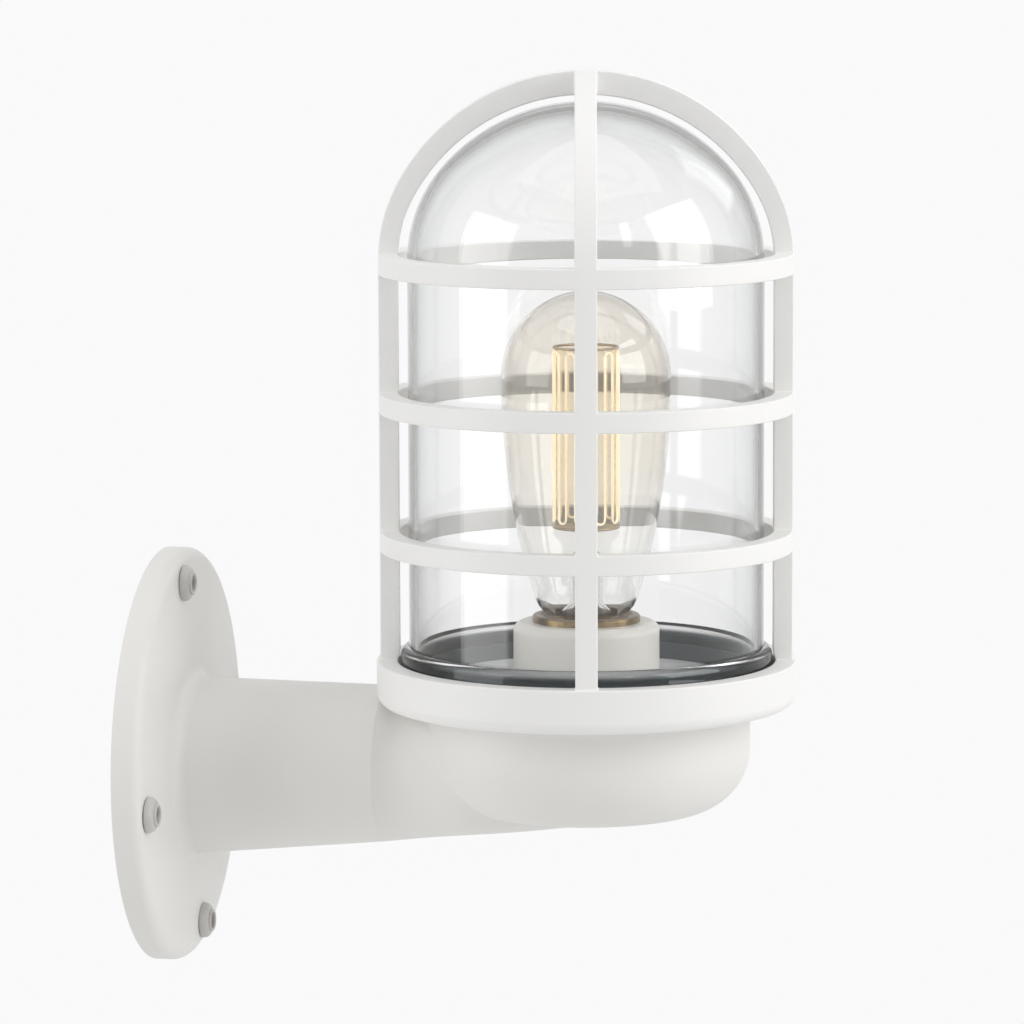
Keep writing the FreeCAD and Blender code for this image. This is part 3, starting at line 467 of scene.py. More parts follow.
AGED_BRASS = metal("aged_brass", (0.31, 0.225, 0.11), (0.115, 0.082, 0.042), 0.32)
BRIGHT_BRASS = metal("bright_brass", (0.80, 0.57, 0.24), (0.66, 0.44, 0.17), 0.26)
CAP_BRASS = metal("cap_brass", (0.74, 0.58, 0.32), (0.58, 0.43, 0.21), 0.24)
DARK_BRASS = metal("dark_brass", (0.50, 0.41, 0.29), (0.34, 0.27, 0.18), 0.36)
ZINC_STEEL = metal("zinc_steel", (0.62, 0.63, 0.64), (0.50, 0.52, 0.55), 0.34)
DARK_WIRE = metal("dark_wire", (0.10, 0.09, 0.08), (0.06, 0.055, 0.05), 0.35)
SOLDER = metal("solder", (0.55, 0.55, 0.56), (0.42, 0.42, 0.44), 0.38)
print("with metals:", len(bpy.data.materials))

# %% [markdown]
# ### Glass
# Glass looks dark where the eye looks along its wall, because the path in it is long there. Layer Weight
# gives that angle, so the colour goes from nearly clear to grey green at the edge. Light has to reach what
# stands inside, so the alpha drops for shadow rays only, and the lamps shine through.

# %% Glass
def glass(name, clear, edge, edge_power, shade=0.12, presence=1.0, ior=1.47):
    """Glass whose tint deepens to its edges; shade is what it keeps of a shadow, presence of its looks."""
    material, tree, shader = new_finish(name)
    facing = tree.nodes.new("ShaderNodeLayerWeight")
    facing.inputs["Blend"].default_value = 0.5
    edge_mask = math_node(tree, "POWER", facing.outputs["Facing"], edge_power)
    tint = mix_colours(tree, edge_mask, clear + (1,), edge + (1,))
    tree.links.new(tint, shader.inputs["Base Color"])
    shader.inputs["Transmission Weight"].default_value = 1.0
    shader.inputs["IOR"].default_value = ior
    add_rub(tree, shader, 0.004, spread=0.006, size=60.0)
    ray = tree.nodes.new("ShaderNodeLightPath")
    passing = math_node(tree, "MULTIPLY", ray.outputs["Is Shadow Ray"], presence - shade)
    tree.links.new(math_node(tree, "SUBTRACT", presence, passing), shader.inputs["Alpha"])
    return material


def tint_below(material, colour, low, high):
    """Give glass a second colour below a height, in millimetres, with a soft change up to another."""
    tree = material.node_tree
    tint = tree.nodes[SHADER].inputs["Base Color"]
    own = tint.links[0].from_socket
    place = tree.nodes.new("ShaderNodeTexCoord")
    split = tree.nodes.new("ShaderNodeSeparateXYZ")
    tree.links.new(place.outputs["Object"], split.inputs[0])
    height = range_node(tree, split.outputs["Z"], low * MM, high * MM, "SMOOTHSTEP")
    tree.links.new(mix_colours(tree, height, colour + (1,), own), tint)


DOME_GLASS = glass("clear_dome_glass", (0.972, 0.973, 0.971), (0.17, 0.205, 0.215), edge_power=3.4)
# Painted shade: below 42.6 mm the dome's foot is tinted near black, fading out by 45 mm, for the shadow and
# the dark seal seen through it.
tint_below(DOME_GLASS, (0.035, 0.047, 0.051), low=42.6, high=45.0)
STEM_GLASS = glass("stem_glass", (0.985, 0.985, 0.975), (0.80, 0.81, 0.79), edge_power=3.5)
COLUMN_GLASS = glass("column_glass", (0.965, 0.885, 0.73), (0.82, 0.66, 0.42), edge_power=2.0,
                     shade=0.03, presence=0.42, ior=1.02)
BULB_GLASS = glass("smoked_bulb_glass", (0.956, 0.931, 0.882), (0.24, 0.185, 0.11), edge_power=4.0, shade=0.1)
tint_below(BULB_GLASS, (0.975, 0.975, 0.965), low=70.0, high=125.0)
print("finishes:", len(bpy.data.materials))

# %% [markdown]
# ## Finishes on the solids
# Solids whose shape is already right keep their mesh and only take a finish. That holds for the wall plate,
# the arm, the lampholder and all the small hardware inside the cup.

# %% Dress the solids
FINISH_OF = {
    "wall_plate": ENAMEL, "arm_casting": ENAMEL, "guard_flange": GUARD_ENAMEL, "guard_ribs": GUARD_ENAMEL,
    "guard_hoop_low": GUARD_ENAMEL, "guard_hoop_middle": GUARD_ENAMEL, "guard_hoop_high": GUARD_ENAMEL,
    "base_disc": DISC_ENAMEL, "wall_seal": SEAL_RUBBER, "glass_seal": DARK_RUBBER, "entry_bush": BLACK_RUBBER,
    "fixing_bushes": BUSH_POLYMER, "holder_strap": ZINC_STEEL, "strap_screws": ZINC_STEEL,
    "holder_body": PORCELAIN, "screw_shell": BRIGHT_BRASS, "mouth_ring": AGED_BRASS,
    "contact_plate": BRIGHT_BRASS, "contact_plunger": BRIGHT_BRASS, "terminal_block": BLOCK_POLYMER,
    "terminal_screws": BRIGHT_BRASS, "earth_screw": BRIGHT_BRASS, "lead_live": BROWN_SHEATH,
    "lead_neutral": BLUE_SHEATH, "lead_earth": GREEN_SHEATH, "glass_dome": DOME_GLASS,
    "slip_washer": WASHER_POLYMER, "bulb_tip": SOLDER, "bulb_cap": CAP_BRASS, "cap_insulator": BLACK_GLASS,
    "bulb_glass": BULB_GLASS, "bulb_stem": STEM_GLASS, "bulb_column": COLUMN_GLASS,
    "column_collars": DARK_BRASS, "support_wires": DARK_WIRE, "filaments": CREAM_COATING,
}
for node_name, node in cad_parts.items():
    node.data.materials.clear()
    node.data.materials.append(FINISH_OF[node_name])
print("dressed:", len(FINISH_OF))

# %% [markdown]
# ## Turned pieces
# Glass shows every facet of a mesh, so the dome, the bulb and the tubes in it are turned again here with many
# fine steps. A helper spins an outline of radius and height points about the lamp's axis in clean quads.
# Corners are small arcs, because a real pressed or blown edge is never sharp.

# %% Outline helpers
def arc(across, up, radius, start, end, steps=8):
    """Points of an arc in the outline plane, in millimetres and degrees."""
    turns = [math.radians(start + (end - start) * step / steps) for step in range(steps + 1)]
    return [(across + radius * math.cos(turn), up + radius * math.sin(turn)) for turn in turns]


def upright(radius, start, end, steps=10):
    """Points of a straight wall from one height up to, and without, another."""
    return [(radius, start + (end - start) * step / steps) for step in range(steps)]


def dome_joint(outer, rise, shoulder):
    """Top radius of a three-centred dome, and the angle at which its two arcs meet."""
    top = ((outer - shoulder) ** 2 + rise ** 2 - shoulder ** 2) / (2 * (rise - shoulder))
    angle = math.degrees(math.atan2(top - rise, outer - shoulder))
    return top, angle


def dome_points(outer, rise, shoulder, base, steps=14):
    """Points from a dome's side to its top."""
    top, angle = dome_joint(outer, rise, shoulder)
    side = arc(outer - shoulder, base, shoulder, 0, angle, steps)
    crown = arc(0, base + rise - top, top, angle, 90, steps * 2)
    return side + crown[1:]


print("a quarter circle has", len(arc(0, 0, 1, 0, 90)), "points")

# %% [markdown]
# ### Meshes and objects
# Each piece is made in the same three steps: a mesh with its normals turned outwards, smooth faces with the
# hard corners kept, and an object that rides on its body. Pieces that come as a set are joined into one mesh.

# %% Mesh helpers
HARD_CORNER = 40
ON_AXIS = 1e-6


def smooth_mesh(bm, name, sharp=HARD_CORNER):
    """A bmesh as a smooth mesh whose hard corners stay hard."""
    mesh = bpy.data.meshes.new(name)
    bm.to_mesh(mesh)
    bm.free()
    mesh.shade_smooth()
    mesh.set_sharp_from_angle(angle=math.radians(sharp))
    return mesh


def finish_mesh(bm, name, sharp=HARD_CORNER):
    """A closed shape with its faces turned outwards."""
    bmesh.ops.recalc_face_normals(bm, faces=bm.faces)
    return smooth_mesh(bm, name, sharp)


def joined_mesh(name, meshes):
    """Several meshes as one, each with the side that it faces kept."""
    bm = bmesh.new()
    for mesh in meshes:
        bm.from_mesh(mesh)
        bpy.data.meshes.remove(mesh)
    return smooth_mesh(bm, name)


def add_object(name, mesh, finish, body, replaced):
    """Link a piece, give it its finish and let it ride on its body in place of its solids."""
    piece = bpy.data.objects.new(name, mesh)
    scene.collection.objects.link(piece)
    mesh.materials.append(finish)
    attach(piece, body)
    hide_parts(*replaced)
    return piece


def ring_of(bm, radius, height, segments, centre):
    """Vertices of one turned ring, or a single vertex where it lies on the axis."""
    if radius < ON_AXIS:
        return [bm.verts.new((centre[0], centre[1], height * MM))]
    turns = [2 * math.pi * step / segments for step in range(segments)]
    return [bm.verts.new((centre[0] + radius * MM * math.cos(turn),
                          centre[1] + radius * MM * math.sin(turn), height * MM)) for turn in turns]


def turned_mesh(name, outline, segments=144, centre=(0.0, LAMP_Y)):
    """Spin a closed outline of (radius, height) in millimetres about an upright axis."""
    bm = bmesh.new()
    rings = [ring_of(bm, radius, height, segments, centre) for radius, height in outline]
    pairs = list(zip(rings, rings[1:]))
    if len(rings[0]) > 1 and len(rings[-1]) > 1:
        pairs.append((rings[-1], rings[0]))
    for low, high in pairs:
        for step in range(segments):
            after = (step + 1) % segments
            corners = [low[step % len(low)], low[after % len(low)],
                       high[after % len(high)], high[step % len(high)]]
            corners = [spot for index, spot in enumerate(corners) if spot not in corners[:index]]
            if len(corners) > 2:
                bm.faces.new(corners)
    return finish_mesh(bm, name)


print("corners sharper than", HARD_CORNER, "degrees stay hard")

# %% [markdown]
# ### Glass dome
# The jar stands on a thick pressed foot with a small step, and its wall is over three millimetres, which is
# why two grey lines run down each side. Outline: inner wall and crown, then outer crown, wall and foot.

# %% Glass dome
JAR_OUT = 67.1
JAR_WALL = 3.2
JAR_IN = JAR_OUT - JAR_WALL
SHOULDER_LEVEL = 192.0
JAR_SHOULDER = 54.0
JAR_RISE = 59.8
CROWN_WALL = 4.0
FOOT_TOP = 46.5
FOOT_OUT = 73.3
FOOT_STEP = 36.0
FOOT_UNDER = 34.4


def dome_outline():
    """Inner wall and crown upwards, then outer crown, wall and foot downwards."""
    inner = dome_points(JAR_IN, JAR_RISE - CROWN_WALL, JAR_SHOULDER - JAR_WALL, SHOULDER_LEVEL)
    outer = dome_points(JAR_OUT, JAR_RISE, JAR_SHOULDER, SHOULDER_LEVEL)
    inside = upright(JAR_IN, FOOT_STEP, SHOULDER_LEVEL)
    wall = upright(JAR_OUT, SHOULDER_LEVEL, FOOT_TOP)[1:] + [(JAR_OUT, FOOT_TOP)]
    foot = arc(JAR_OUT, FOOT_TOP - 3.1, 3.1, 90, 0, 6)[1:]
    hollow = [(JAR_OUT + 3.1, 37.4)] + arc(71.0, 37.4, 0.8, 180, 270, 3)[1:]
    flange = arc(FOOT_OUT - 0.6, FOOT_STEP, 0.6, 90, 0, 3)
    flange += arc(FOOT_OUT - 0.6, FOOT_UNDER + 0.6, 0.6, 0, -90, 3)
    heel = arc(JAR_IN + 0.8, FOOT_UNDER + 0.8, 0.8, 270, 180, 3)
    top_down = list(reversed(outer))
    return inside + inner + top_down[:-1] + wall + foot + hollow + flange + heel


dome = add_object("glass_dome_smooth", turned_mesh("glass_dome_smooth", dome_outline(), 180),
                  DOME_GLASS, "glass", ["glass_dome"])
print("dome faces:", len(dome.data.polygons))

# %% [markdown]
# ### Smoked bulb
# The envelope is a pear shape: a round crown, a long gentle taper and a neck drawn in to the cap. Its inner
# face follows the outer one at under a millimetre, so it refracts as thin blown glass does. Both faces are
# one outline, open at the root, because two closed shells would bend light as a solid lens does.

# %% Bulb envelope
BULB_RADIUS = 32.0
BULB_WALL = 0.9
CROWN_LEVEL = 148.3
TAPER_RADIUS, TAPER_LEVEL = 24.0, 80.0
NECK_RADIUS, NECK_LEVEL = 19.3, 64.0
# Root of the neck: radius, height, and the shares of the wall by which the inner face is set in and up.
BULB_ROOT = ((12.6, 57.3, 0.4, 1), (14.4, 58.1, 0.6, 1), (16.4, 59.6, 0.8, 1), (18.1, 61.7, 1, 0.5),
             (NECK_RADIUS, NECK_LEVEL, 1, 0))


def bulb_side(shrink, steps=26):
    """Half outline of the envelope from its root to the crown, drawn in by the wall."""
    fall = CROWN_LEVEL - TAPER_LEVEL
    draw = BULB_RADIUS - TAPER_RADIUS
    flank = (fall ** 2 + draw ** 2) / (2 * draw)
    half = math.degrees(math.asin(fall / flank))
    body = arc(BULB_RADIUS - shrink - flank, CROWN_LEVEL, flank, -half, 0, steps)
    crown = arc(0, CROWN_LEVEL, BULB_RADIUS - shrink, 0, 90, steps)
    crown[-1] = (0.0, crown[-1][1])
    neck_radius = NECK_RADIUS - shrink
    slope = (body[0][0] - neck_radius) / (TAPER_LEVEL - NECK_LEVEL)
    neck = [(neck_radius + slope * rise, NECK_LEVEL + rise) for rise in (2, 5, 9, 13)]
    root = [(radius - shrink * inwards, height + shrink * upwards)
            for radius, height, inwards, upwards in BULB_ROOT]
    return root + neck + body + crown[1:]


outer_side = bulb_side(0.0)
inner_side = bulb_side(BULB_WALL)
add_object("bulb_envelope", turned_mesh("bulb_envelope", outer_side + list(reversed(inner_side)), 128),
           BULB_GLASS, "bulb", ["bulb_glass"])
print("bulb height:", round(outer_side[-1][1] - outer_side[0][1], 1), "mm")

# %% [markdown]
# ### Column and rims
# A glass column stands in the bulb with a dark rim at each end that holds the strands. The tube is turned as
# a thin wall and not as a rod, because a rod would squeeze all that stands behind it into a narrow stripe.

# %% Column and rims
COLUMN_MIDDLE = 11.4
COLUMN_HALF_WALL = 0.15
COLUMN_FOOT, COLUMN_TOP = 91.9, 159.6
RIM_WIRE = 0.5

column_wall = [(COLUMN_MIDDLE - COLUMN_HALF_WALL, COLUMN_FOOT)]
column_wall += arc(COLUMN_MIDDLE, COLUMN_TOP, COLUMN_HALF_WALL, 180, 0, 4)
column_wall += [(COLUMN_MIDDLE + COLUMN_HALF_WALL, COLUMN_FOOT)]
add_object("column_tube", turned_mesh("column_tube", column_wall, 72), COLUMN_GLASS, "bulb",
           ["bulb_column"])

top_rim = arc(12.1, 159.4, RIM_WIRE, 180, -180, 12)[1:]
foot_rim = [(1.0, 91.1)] + arc(12.3, 91.6, RIM_WIRE, -90, 90, 8) + [(12.0, 91.8), (1.0, 91.8)]
rims = [turned_mesh("rim", outline, 72) for outline in (top_rim, foot_rim)]
add_object("column_rings", joined_mesh("column_rings", rims), DARK_BRASS, "bulb",
           ["column_collars"])
print("column:", round(COLUMN_TOP + COLUMN_HALF_WALL - COLUMN_FOOT, 2), "mm high")

# %% [markdown]
# ### Flared stem
# The stem is a thin glass tube, flared where it is sealed into the neck and closed in a small dome on top.
# Like the column it is drawn with its wall, so that light passes it nearly straight.

# %% Stem
STEM_RADIUS = 6.0
STEM_WALL = 0.9
STEM_ROOT, FLARE_LEVEL, STEM_SHOULDER = 58.4, 64.0, 78.0
FLARE = 4.0


def stem_side(shrink, flare_start):
    """Half outline of the stem from its root to its top, drawn in by the wall."""
    radius = STEM_RADIUS - shrink
    flare = arc(STEM_RADIUS + FLARE, FLARE_LEVEL, FLARE + shrink, flare_start, 180, 6)
    return ([(9.5 - shrink, STEM_ROOT)] + flare + [(radius, STEM_SHOULDER)]
            + arc(0, STEM_SHOULDER, radius, 0, 90, 8)[1:])


stem_outline = stem_side(0.0, 225) + list(reversed(stem_side(STEM_WALL, 228)))
add_object("flared_stem", turned_mesh("flared_stem", stem_outline, 64), STEM_GLASS, "bulb",
           ["bulb_stem"])
print("stem top at", STEM_SHOULDER + STEM_RADIUS, "mm")

# %% [markdown]
# ### Filaments
# Slender cream strands run up and down between the two rims as one long zigzag. A strand is a small tube
# swept along its path: a ring of points is set square to the path at each of its points and the rings are
# joined. The bends are half circles, since a wire can't turn in a point.

# %% Filament zigzag
STRANDS = 20
STRAND_PLACE = 12.35
STRAND_RADIUS = 0.45
STRAND_FOOT, STRAND_TOP = 93.6, 158.0
STRAND_STEPS = 8
BEND_STEPS = 6


def zigzag_path():
    """Centre line of the zigzag in millimetres, strand by strand about the column."""
    path = []
    gap = math.pi / STRANDS
    bend = STRAND_PLACE * gap * 0.9
    for strand in range(STRANDS):
        middle = 2 * math.pi * (strand + 0.5) / STRANDS
        upward = strand % 2 == 0
        level, side = (STRAND_TOP, 1) if upward else (STRAND_FOOT, -1)
        start = STRAND_FOOT + bend if upward else STRAND_TOP - bend
        end = level - side * bend
        path += [(middle, start + (end - start) * step / STRAND_STEPS) for step in range(STRAND_STEPS)]
        for step in range(BEND_STEPS):
            round_bend = math.pi * step / BEND_STEPS
            path.append((middle + gap - gap * math.cos(round_bend), end + side * bend * math.sin(round_bend)))
    return [Vector((STRAND_PLACE * math.cos(turn), STRAND_PLACE * math.sin(turn), height))
            for turn, height in path]


def swept_loop(name, path, radius, sides=6):
    """A closed tube along a closed path in millimetres about the lamp's axis."""
    bm = bmesh.new()
    axis = Vector((0, LAMP_Y, 0))
    rings = []
    for index, spot in enumerate(path):
        along = (path[(index + 1) % len(path)] - path[index - 1]).normalized()
        out = Vector((spot.x, spot.y, 0)).normalized()
        across = along.cross(out).normalized()
        out = across.cross(along)
        turns = [2 * math.pi * step / sides for step in range(sides)]
        rings.append([bm.verts.new(
            (spot + across * radius * math.cos(turn) + out * radius * math.sin(turn)) * MM + axis)
            for turn in turns])
    for index, ring in enumerate(rings):
        before = rings[index - 1]
        for step in range(sides):
            after = (step + 1) % sides
            bm.faces.new((before[step], before[after], ring[after], ring[step]))
    return finish_mesh(bm, name)


add_object("filament_zigzag", swept_loop("filament_zigzag", zigzag_path(), STRAND_RADIUS), CREAM_COATING,
           "bulb", ["filaments"])
print("filament strands:", STRANDS)

# %% [markdown]
# ## Fixing bushes
# Each screw hole of the wall plate has a moulded bush: a low dome with a rolled lip about its bore. The dome
# is turned like the glass and then laid over, so that its axis points out of the wall.

# %% Fixing bushes
BUSHES = 4
BUSH_CIRCLE = 68.8
BUSH_TURN = 10.0
BORE = 3.1
SHANK = 5.3
PLATE_FACE = 10.95


def bush_outline():
    """From the wall end of the bore round the lip and the dome back to the shank."""
    lip = arc(BORE + 0.65, 14.6, 0.65, 180, -20, 8)
    dome_line = arc(4.1, 11.6, 2.75, 68, 0, 8)
    skirt = [(6.8, PLATE_FACE + 0.2), (6.55, PLATE_FACE), (SHANK, PLATE_FACE), (SHANK, 0.0)]
    return [(BORE, 0.0), (BORE, 13.8)] + lip + [(4.55, 14.15)] + dome_line + skirt


def bush_at(quarter):
    """One bush on the circle of the fixings, laid over to point out of the wall."""
    mesh = turned_mesh("bush", bush_outline(), 64, centre=(0.0, 0.0))
    turn = math.radians(BUSH_TURN - 90 * quarter)
    across, up = BUSH_CIRCLE * math.cos(turn) * MM, BUSH_CIRCLE * math.sin(turn) * MM
    mesh.transform(Matrix.Translation((across, 0, up)) @ Matrix.Rotation(math.pi / 2, 4, "X"))
    return mesh


add_object("domed_bushes", joined_mesh("domed_bushes", [bush_at(quarter) for quarter in range(BUSHES)]),
           BUSH_POLYMER, "bracket", ["fixing_bushes"])
print("bushes:", BUSHES)

# %% [markdown]
# ## Guard
# The guard is a grille of four ribs and three hoops on a screwed flange, all one white piece once it is
# coated. Cutting holes into a cylinder gives ragged corners. Here the grille is laid out as cells of columns
# and rows instead: a cell is there or it isn't, and a wall closes each side where it stops. The bevel then
# rounds the outer edges and fills the inner corners, as the coating does.

# %% Guard grille
RIBS = 4
RIB = 8.2
COLUMNS = 26
TOTAL_COLUMNS = RIBS * COLUMNS
QUARTER = math.pi / 2
GUARD_TURN = math.radians(10.5)
GUARD_OUT, GUARD_IN = 78.0, 70.6
FLANGE_TOP = 41.0
HOOP_LEVELS = (82.8, 135.0, 187.2)
HOOP_HEIGHT = 7.6
ROWS = [FLANGE_TOP, 44.0, 63.0]
HOOP_ROWS = []
for level in HOOP_LEVELS:
    if HOOP_ROWS:
        ROWS.append((ROWS[-1] + level) / 2)
    HOOP_ROWS.append(len(ROWS))
    ROWS += [level, level + HOOP_HEIGHT]


def column_place(column, radius, height):
    """A point of the grille: the columns beside a rib stay a constant width apart."""
    quarter, step = divmod(column, COLUMNS)
    edge = math.asin(RIB / 2 / radius)
    turn = (step - 1) * edge
    if step > 2:
        turn = edge + (QUARTER - 2 * edge) * (step - 2) / (COLUMNS - 2)
    turn += quarter * QUARTER + GUARD_TURN
    return Vector((radius * MM * math.cos(turn), LAMP_Y + radius * MM * math.sin(turn), height * MM))


def circle_of(bm, radius, height):
    """All the columns of one height, as vertices."""
    return [bm.verts.new(column_place(column, radius, height)) for column in range(TOTAL_COLUMNS)]


def is_there(row, column):
    """Whether the cell above a row and after a column is metal."""
    return row < 0 or row in HOOP_ROWS or (row < len(ROWS) - 1 and column % COLUMNS < 2)


def grille_faces(bm, outer, inner):
    """Faces of the cells, and walls where they stop."""
    last = len(ROWS) - 1
    for row in range(len(ROWS)):
        for column in range(TOTAL_COLUMNS):
            after = (column + 1) % TOTAL_COLUMNS
            here = is_there(row, column)
            if row < last and here:
                for side in (outer, inner):
                    bm.faces.new((side[row][column], side[row][after],
                                  side[row + 1][after], side[row + 1][column]))
            if row < last and here != is_there(row, (column - 1) % TOTAL_COLUMNS):
                bm.faces.new((outer[row][column], outer[row + 1][column],
                              inner[row + 1][column], inner[row][column]))
            on_top = row == last and column % COLUMNS < 2
            if here != is_there(row - 1, column) and not on_top:
                bm.faces.new((outer[row][column], outer[row][after], inner[row][after], inner[row][column]))


print("grille:", len(ROWS), "rows of", TOTAL_COLUMNS, "columns, hoops from rows", HOOP_ROWS)

# %% [markdown]
# ### Flange below the grille
# The guard ends in a heavy ring with a rounded lower edge, which screws on to the cup and presses the glass
# down. Its outline goes round in the same columns as the ribs, so the two join without a seam.

# %% Flange below the grille
FLANGE_OUT, FLANGE_MOUTH = 79.4, 74.08
FLANGE_ROUND = 4.8
FLANGE_UNDER = 24.1
RING_IN, RING_UNDER = 71.4, 37.4


def flange_loops():
    """Outline of the screwed flange from the foot of the ribs round to its mouth."""
    corner = arc(FLANGE_OUT - FLANGE_ROUND, FLANGE_UNDER + FLANGE_ROUND, FLANGE_ROUND, 0, -90, 6)
    mouth = [(FLANGE_MOUTH, FLANGE_UNDER), (FLANGE_MOUTH, RING_UNDER), (RING_IN, RING_UNDER)]
    return [(FLANGE_OUT, FLANGE_TOP)] + corner + mouth


def flange_faces(bm, outer, inner):
    """Faces of the flange, from the outer foot of the ribs round to the inner one."""
    loops = [outer] + [circle_of(bm, radius, height) for radius, height in flange_loops()] + [inner]
    for first, second in zip(loops, loops[1:]):
        for column in range(TOTAL_COLUMNS):
            after = (column + 1) % TOTAL_COLUMNS
            bm.faces.new((first[column], first[after], second[after], second[column]))


print("flange outline points:", len(flange_loops()))

# %% [markdown]
# ### Crown of the guard
# Above the top hoop each rib goes on as a curved bar over the dome, and the four meet in one square at the
# top. A bar is drawn along its own curve with a constant width. Wrapping it on the dome's surface would make
# it taper to a point.

# %% Crown of the guard
CROWN_OUTSIDE = (GUARD_OUT, 71.4, 62.0)  # radius, rise and shoulder
CROWN_INSIDE = (GUARD_IN, 62.2, 50.0)
PEAK = 0.1


def crown_rows(outer, rise, shoulder, steps=9):
    """Radius and height along a rib, from the top hoop to where the ribs cross."""
    top, joint = dome_joint(outer, rise, shoulder)
    start = math.degrees(math.asin((ROWS[-1] - SHOULDER_LEVEL) / shoulder))
    end = math.degrees(math.acos(RIB / 2 / top))
    side = arc(outer - shoulder, SHOULDER_LEVEL, shoulder, start, joint, steps)
    return side[1:] + arc(0, SHOULDER_LEVEL + rise - top, top, joint, end, 3 * steps)[1:]


def crown_side(bm, start, rows):
    """The ribs of one side of the crown as rows of three vertices, closed by a square at the top."""
    ribs = []
    for quarter in range(RIBS):
        turn = quarter * QUARTER + GUARD_TURN
        along = Vector((math.cos(turn), math.sin(turn), 0))
        across = Vector((-along.y, along.x, 0))
        rib = [[start[quarter * COLUMNS + step] for step in range(3)]]
        for radius, height in rows:
            middle = along * radius * MM + Vector((0, LAMP_Y, height * MM))
            rib.append([bm.verts.new(middle + across * RIB / 2 * MM * side) for side in (-1, 0, 1)])
        ribs.append(rib)
    peak = bm.verts.new((0, LAMP_Y, (rows[-1][1] + PEAK) * MM))
    for quarter in range(RIBS):
        ribs[(quarter + 1) % RIBS][-1][0] = ribs[quarter][-1][2]
    for quarter in range(RIBS):
        last = ribs[quarter][-1]
        bm.faces.new((peak, last[1], last[2], ribs[(quarter + 1) % RIBS][-1][1]))
    return ribs


def crown_faces(bm, outer, inner):
    """Four ribs over the dome that meet in one square at the top."""
    outside = crown_side(bm, outer, crown_rows(*CROWN_OUTSIDE))
    inside = crown_side(bm, inner, crown_rows(*CROWN_INSIDE))
    for out_rib, in_rib in zip(outside, inside):
        for row in range(len(out_rib) - 1):
            for step in (0, 1):
                for rib in (out_rib, in_rib):
                    bm.faces.new((rib[row][step], rib[row][step + 1],
                                  rib[row + 1][step + 1], rib[row + 1][step]))
            for step in (0, 2):
                bm.faces.new((out_rib[row][step], out_rib[row + 1][step],
                              in_rib[row + 1][step], in_rib[row][step]))


print("points along a rib's crown:", len(crown_rows(*CROWN_OUTSIDE)))

# %% [markdown]
# ### One casting
# Grille, flange and crown share their vertices, so they come out as one closed shape. Bevel rounds each edge
# that turns by more than forty degrees, and Weighted Normal keeps the broad faces flat beside the rounding.

# %% Build the guard
ROUNDING = 1.15

grille = bmesh.new()
outer_rows = [circle_of(grille, GUARD_OUT, height) for height in ROWS]
inner_rows = [circle_of(grille, RING_IN if height == FLANGE_TOP else GUARD_IN, height) for height in ROWS]
grille_faces(grille, outer_rows, inner_rows)
flange_faces(grille, outer_rows[0], inner_rows[0])
crown_faces(grille, outer_rows[-1], inner_rows[-1])
unused = [vert for vert in grille.verts if not vert.link_faces]
bmesh.ops.delete(grille, geom=unused, context="VERTS")
guard_mesh = finish_mesh(grille, "guard_casting", 180)
guard = add_object("guard_casting", guard_mesh, GUARD_ENAMEL, "guard",
                   ["guard_flange", "guard_ribs", "guard_hoop_low", "guard_hoop_middle", "guard_hoop_high"])
rounding = guard.modifiers.new("rounded_edges", "BEVEL")
rounding.width = ROUNDING * MM
rounding.segments = 3
rounding.limit_method = "ANGLE"
rounding.angle_limit = math.radians(HARD_CORNER)
even = guard.modifiers.new("even_normals", "WEIGHTED_NORMAL")
even.keep_sharp = False
print("guard faces before rounding:", len(guard.data.polygons))

# %% [markdown]
# ## Floor
# The light hangs on a wall in use, but a plain pale floor well below it gives the other views a ground for
# the shadow. It is a shallow sheet that curls up at its rim, and it fades to the paper before the rim comes
# into view, so its edge never shows as a line.

# %% Floor
FLOOR_LEVEL = -0.45
FLOOR_MIDDLE_Y = -0.12
FLOOR_SEGMENTS = 64
FLOOR_PROFILE = ((0, 0), (0.4, 0), (0.75, 0), (0.95, 0.004), (1.05, 0.015))
FADE_START, FADE_END = 0.6, 1.08


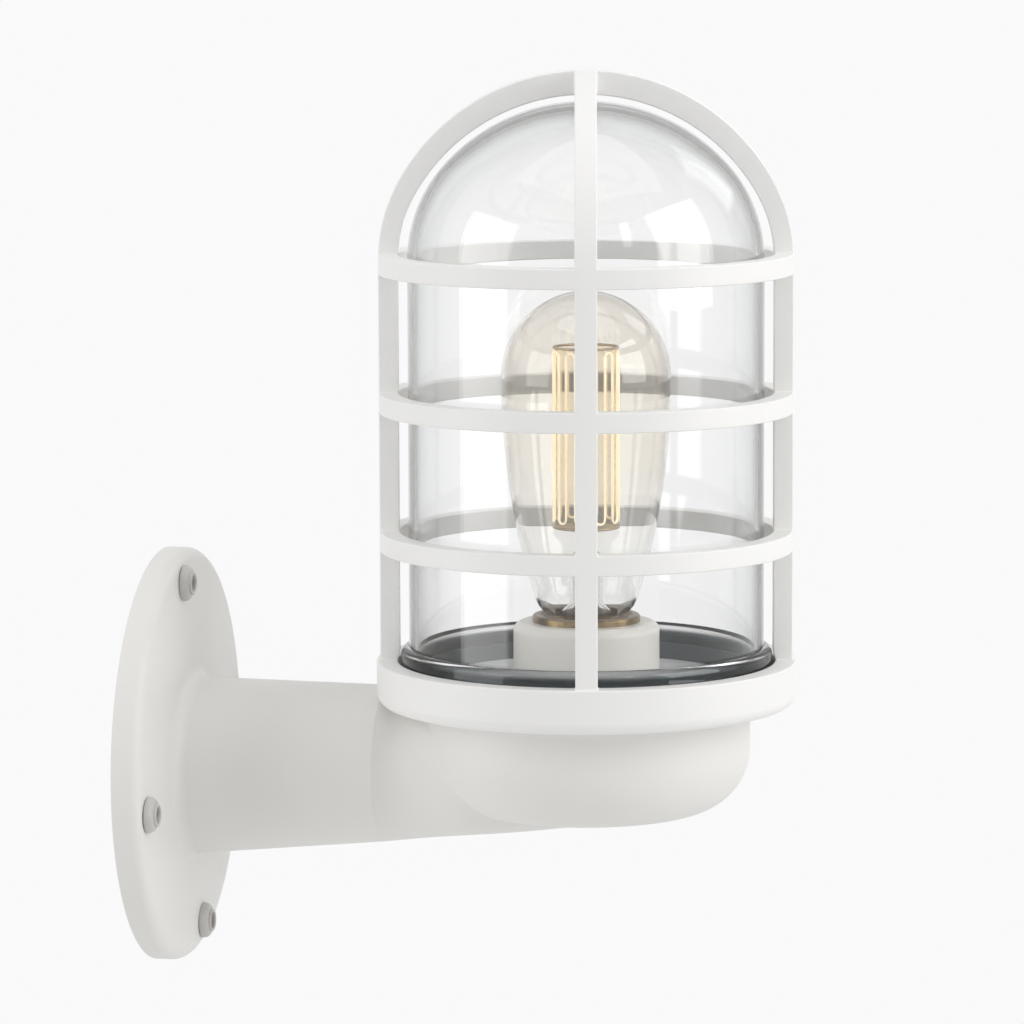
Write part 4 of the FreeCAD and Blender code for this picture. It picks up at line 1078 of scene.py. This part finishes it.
def floor_mesh():
    """A wide sheet with a rim that turns up gently."""
    bm = bmesh.new()
    rings = []
    for radius, height in FLOOR_PROFILE:
        count = FLOOR_SEGMENTS if radius else 1
        turns = [2 * math.pi * step / FLOOR_SEGMENTS for step in range(count)]
        rings.append([bm.verts.new((radius * math.cos(turn), radius * math.sin(turn) + FLOOR_MIDDLE_Y,
                                    height + FLOOR_LEVEL)) for turn in turns])
    for step in range(FLOOR_SEGMENTS):
        after = (step + 1) % FLOOR_SEGMENTS
        bm.faces.new((rings[0][0], rings[1][step], rings[1][after]))
        for near, far in zip(rings[1:], rings[2:]):
            bm.faces.new((near[step], far[step], far[after], near[after]))
    return finish_mesh(bm, "pale_floor")


def fade_to_paper(material, near, far):
    """Let the floor turn into the paper behind it between two distances, for the camera only."""
    tree = material.node_tree
    place = tree.nodes.new("ShaderNodeTexCoord")
    across = tree.nodes.new("ShaderNodeVectorMath")
    across.operation = "LENGTH"
    tree.links.new(place.outputs["Object"], across.inputs[0])
    mask = range_node(tree, across.outputs["Value"], near, far, "SMOOTHSTEP")
    ray = tree.nodes.new("ShaderNodeLightPath")
    share = math_node(tree, "MULTIPLY", mask, ray.outputs["Is Camera Ray"])
    sheet = tree.nodes.new("ShaderNodeEmission")
    sheet.inputs["Color"].default_value = PAPER
    mix = tree.nodes.new("ShaderNodeMixShader")
    tree.links.new(share, mix.inputs["Fac"])
    tree.links.new(tree.nodes[SHADER].outputs[0], mix.inputs[1])
    tree.links.new(sheet.outputs[0], mix.inputs[2])
    tree.links.new(mix.outputs[0], tree.nodes["Material Output"].inputs["Surface"])


floor_finish = coating("pale_floor_finish", (0.86, 0.86, 0.855), (0.85, 0.85, 0.845),
                       roughness=0.8, peel=0.1, dust=0.0, dimples=300.0)
fade_to_paper(floor_finish, FADE_START, FADE_END)
floor = bpy.data.objects.new("pale_floor", floor_mesh())
floor.data.materials.append(floor_finish)
scene.collection.objects.link(floor)
print("floor at", round(floor.data.vertices[0].co.z, 3), "m")

# %% [markdown]
# ## End


print("scene built")
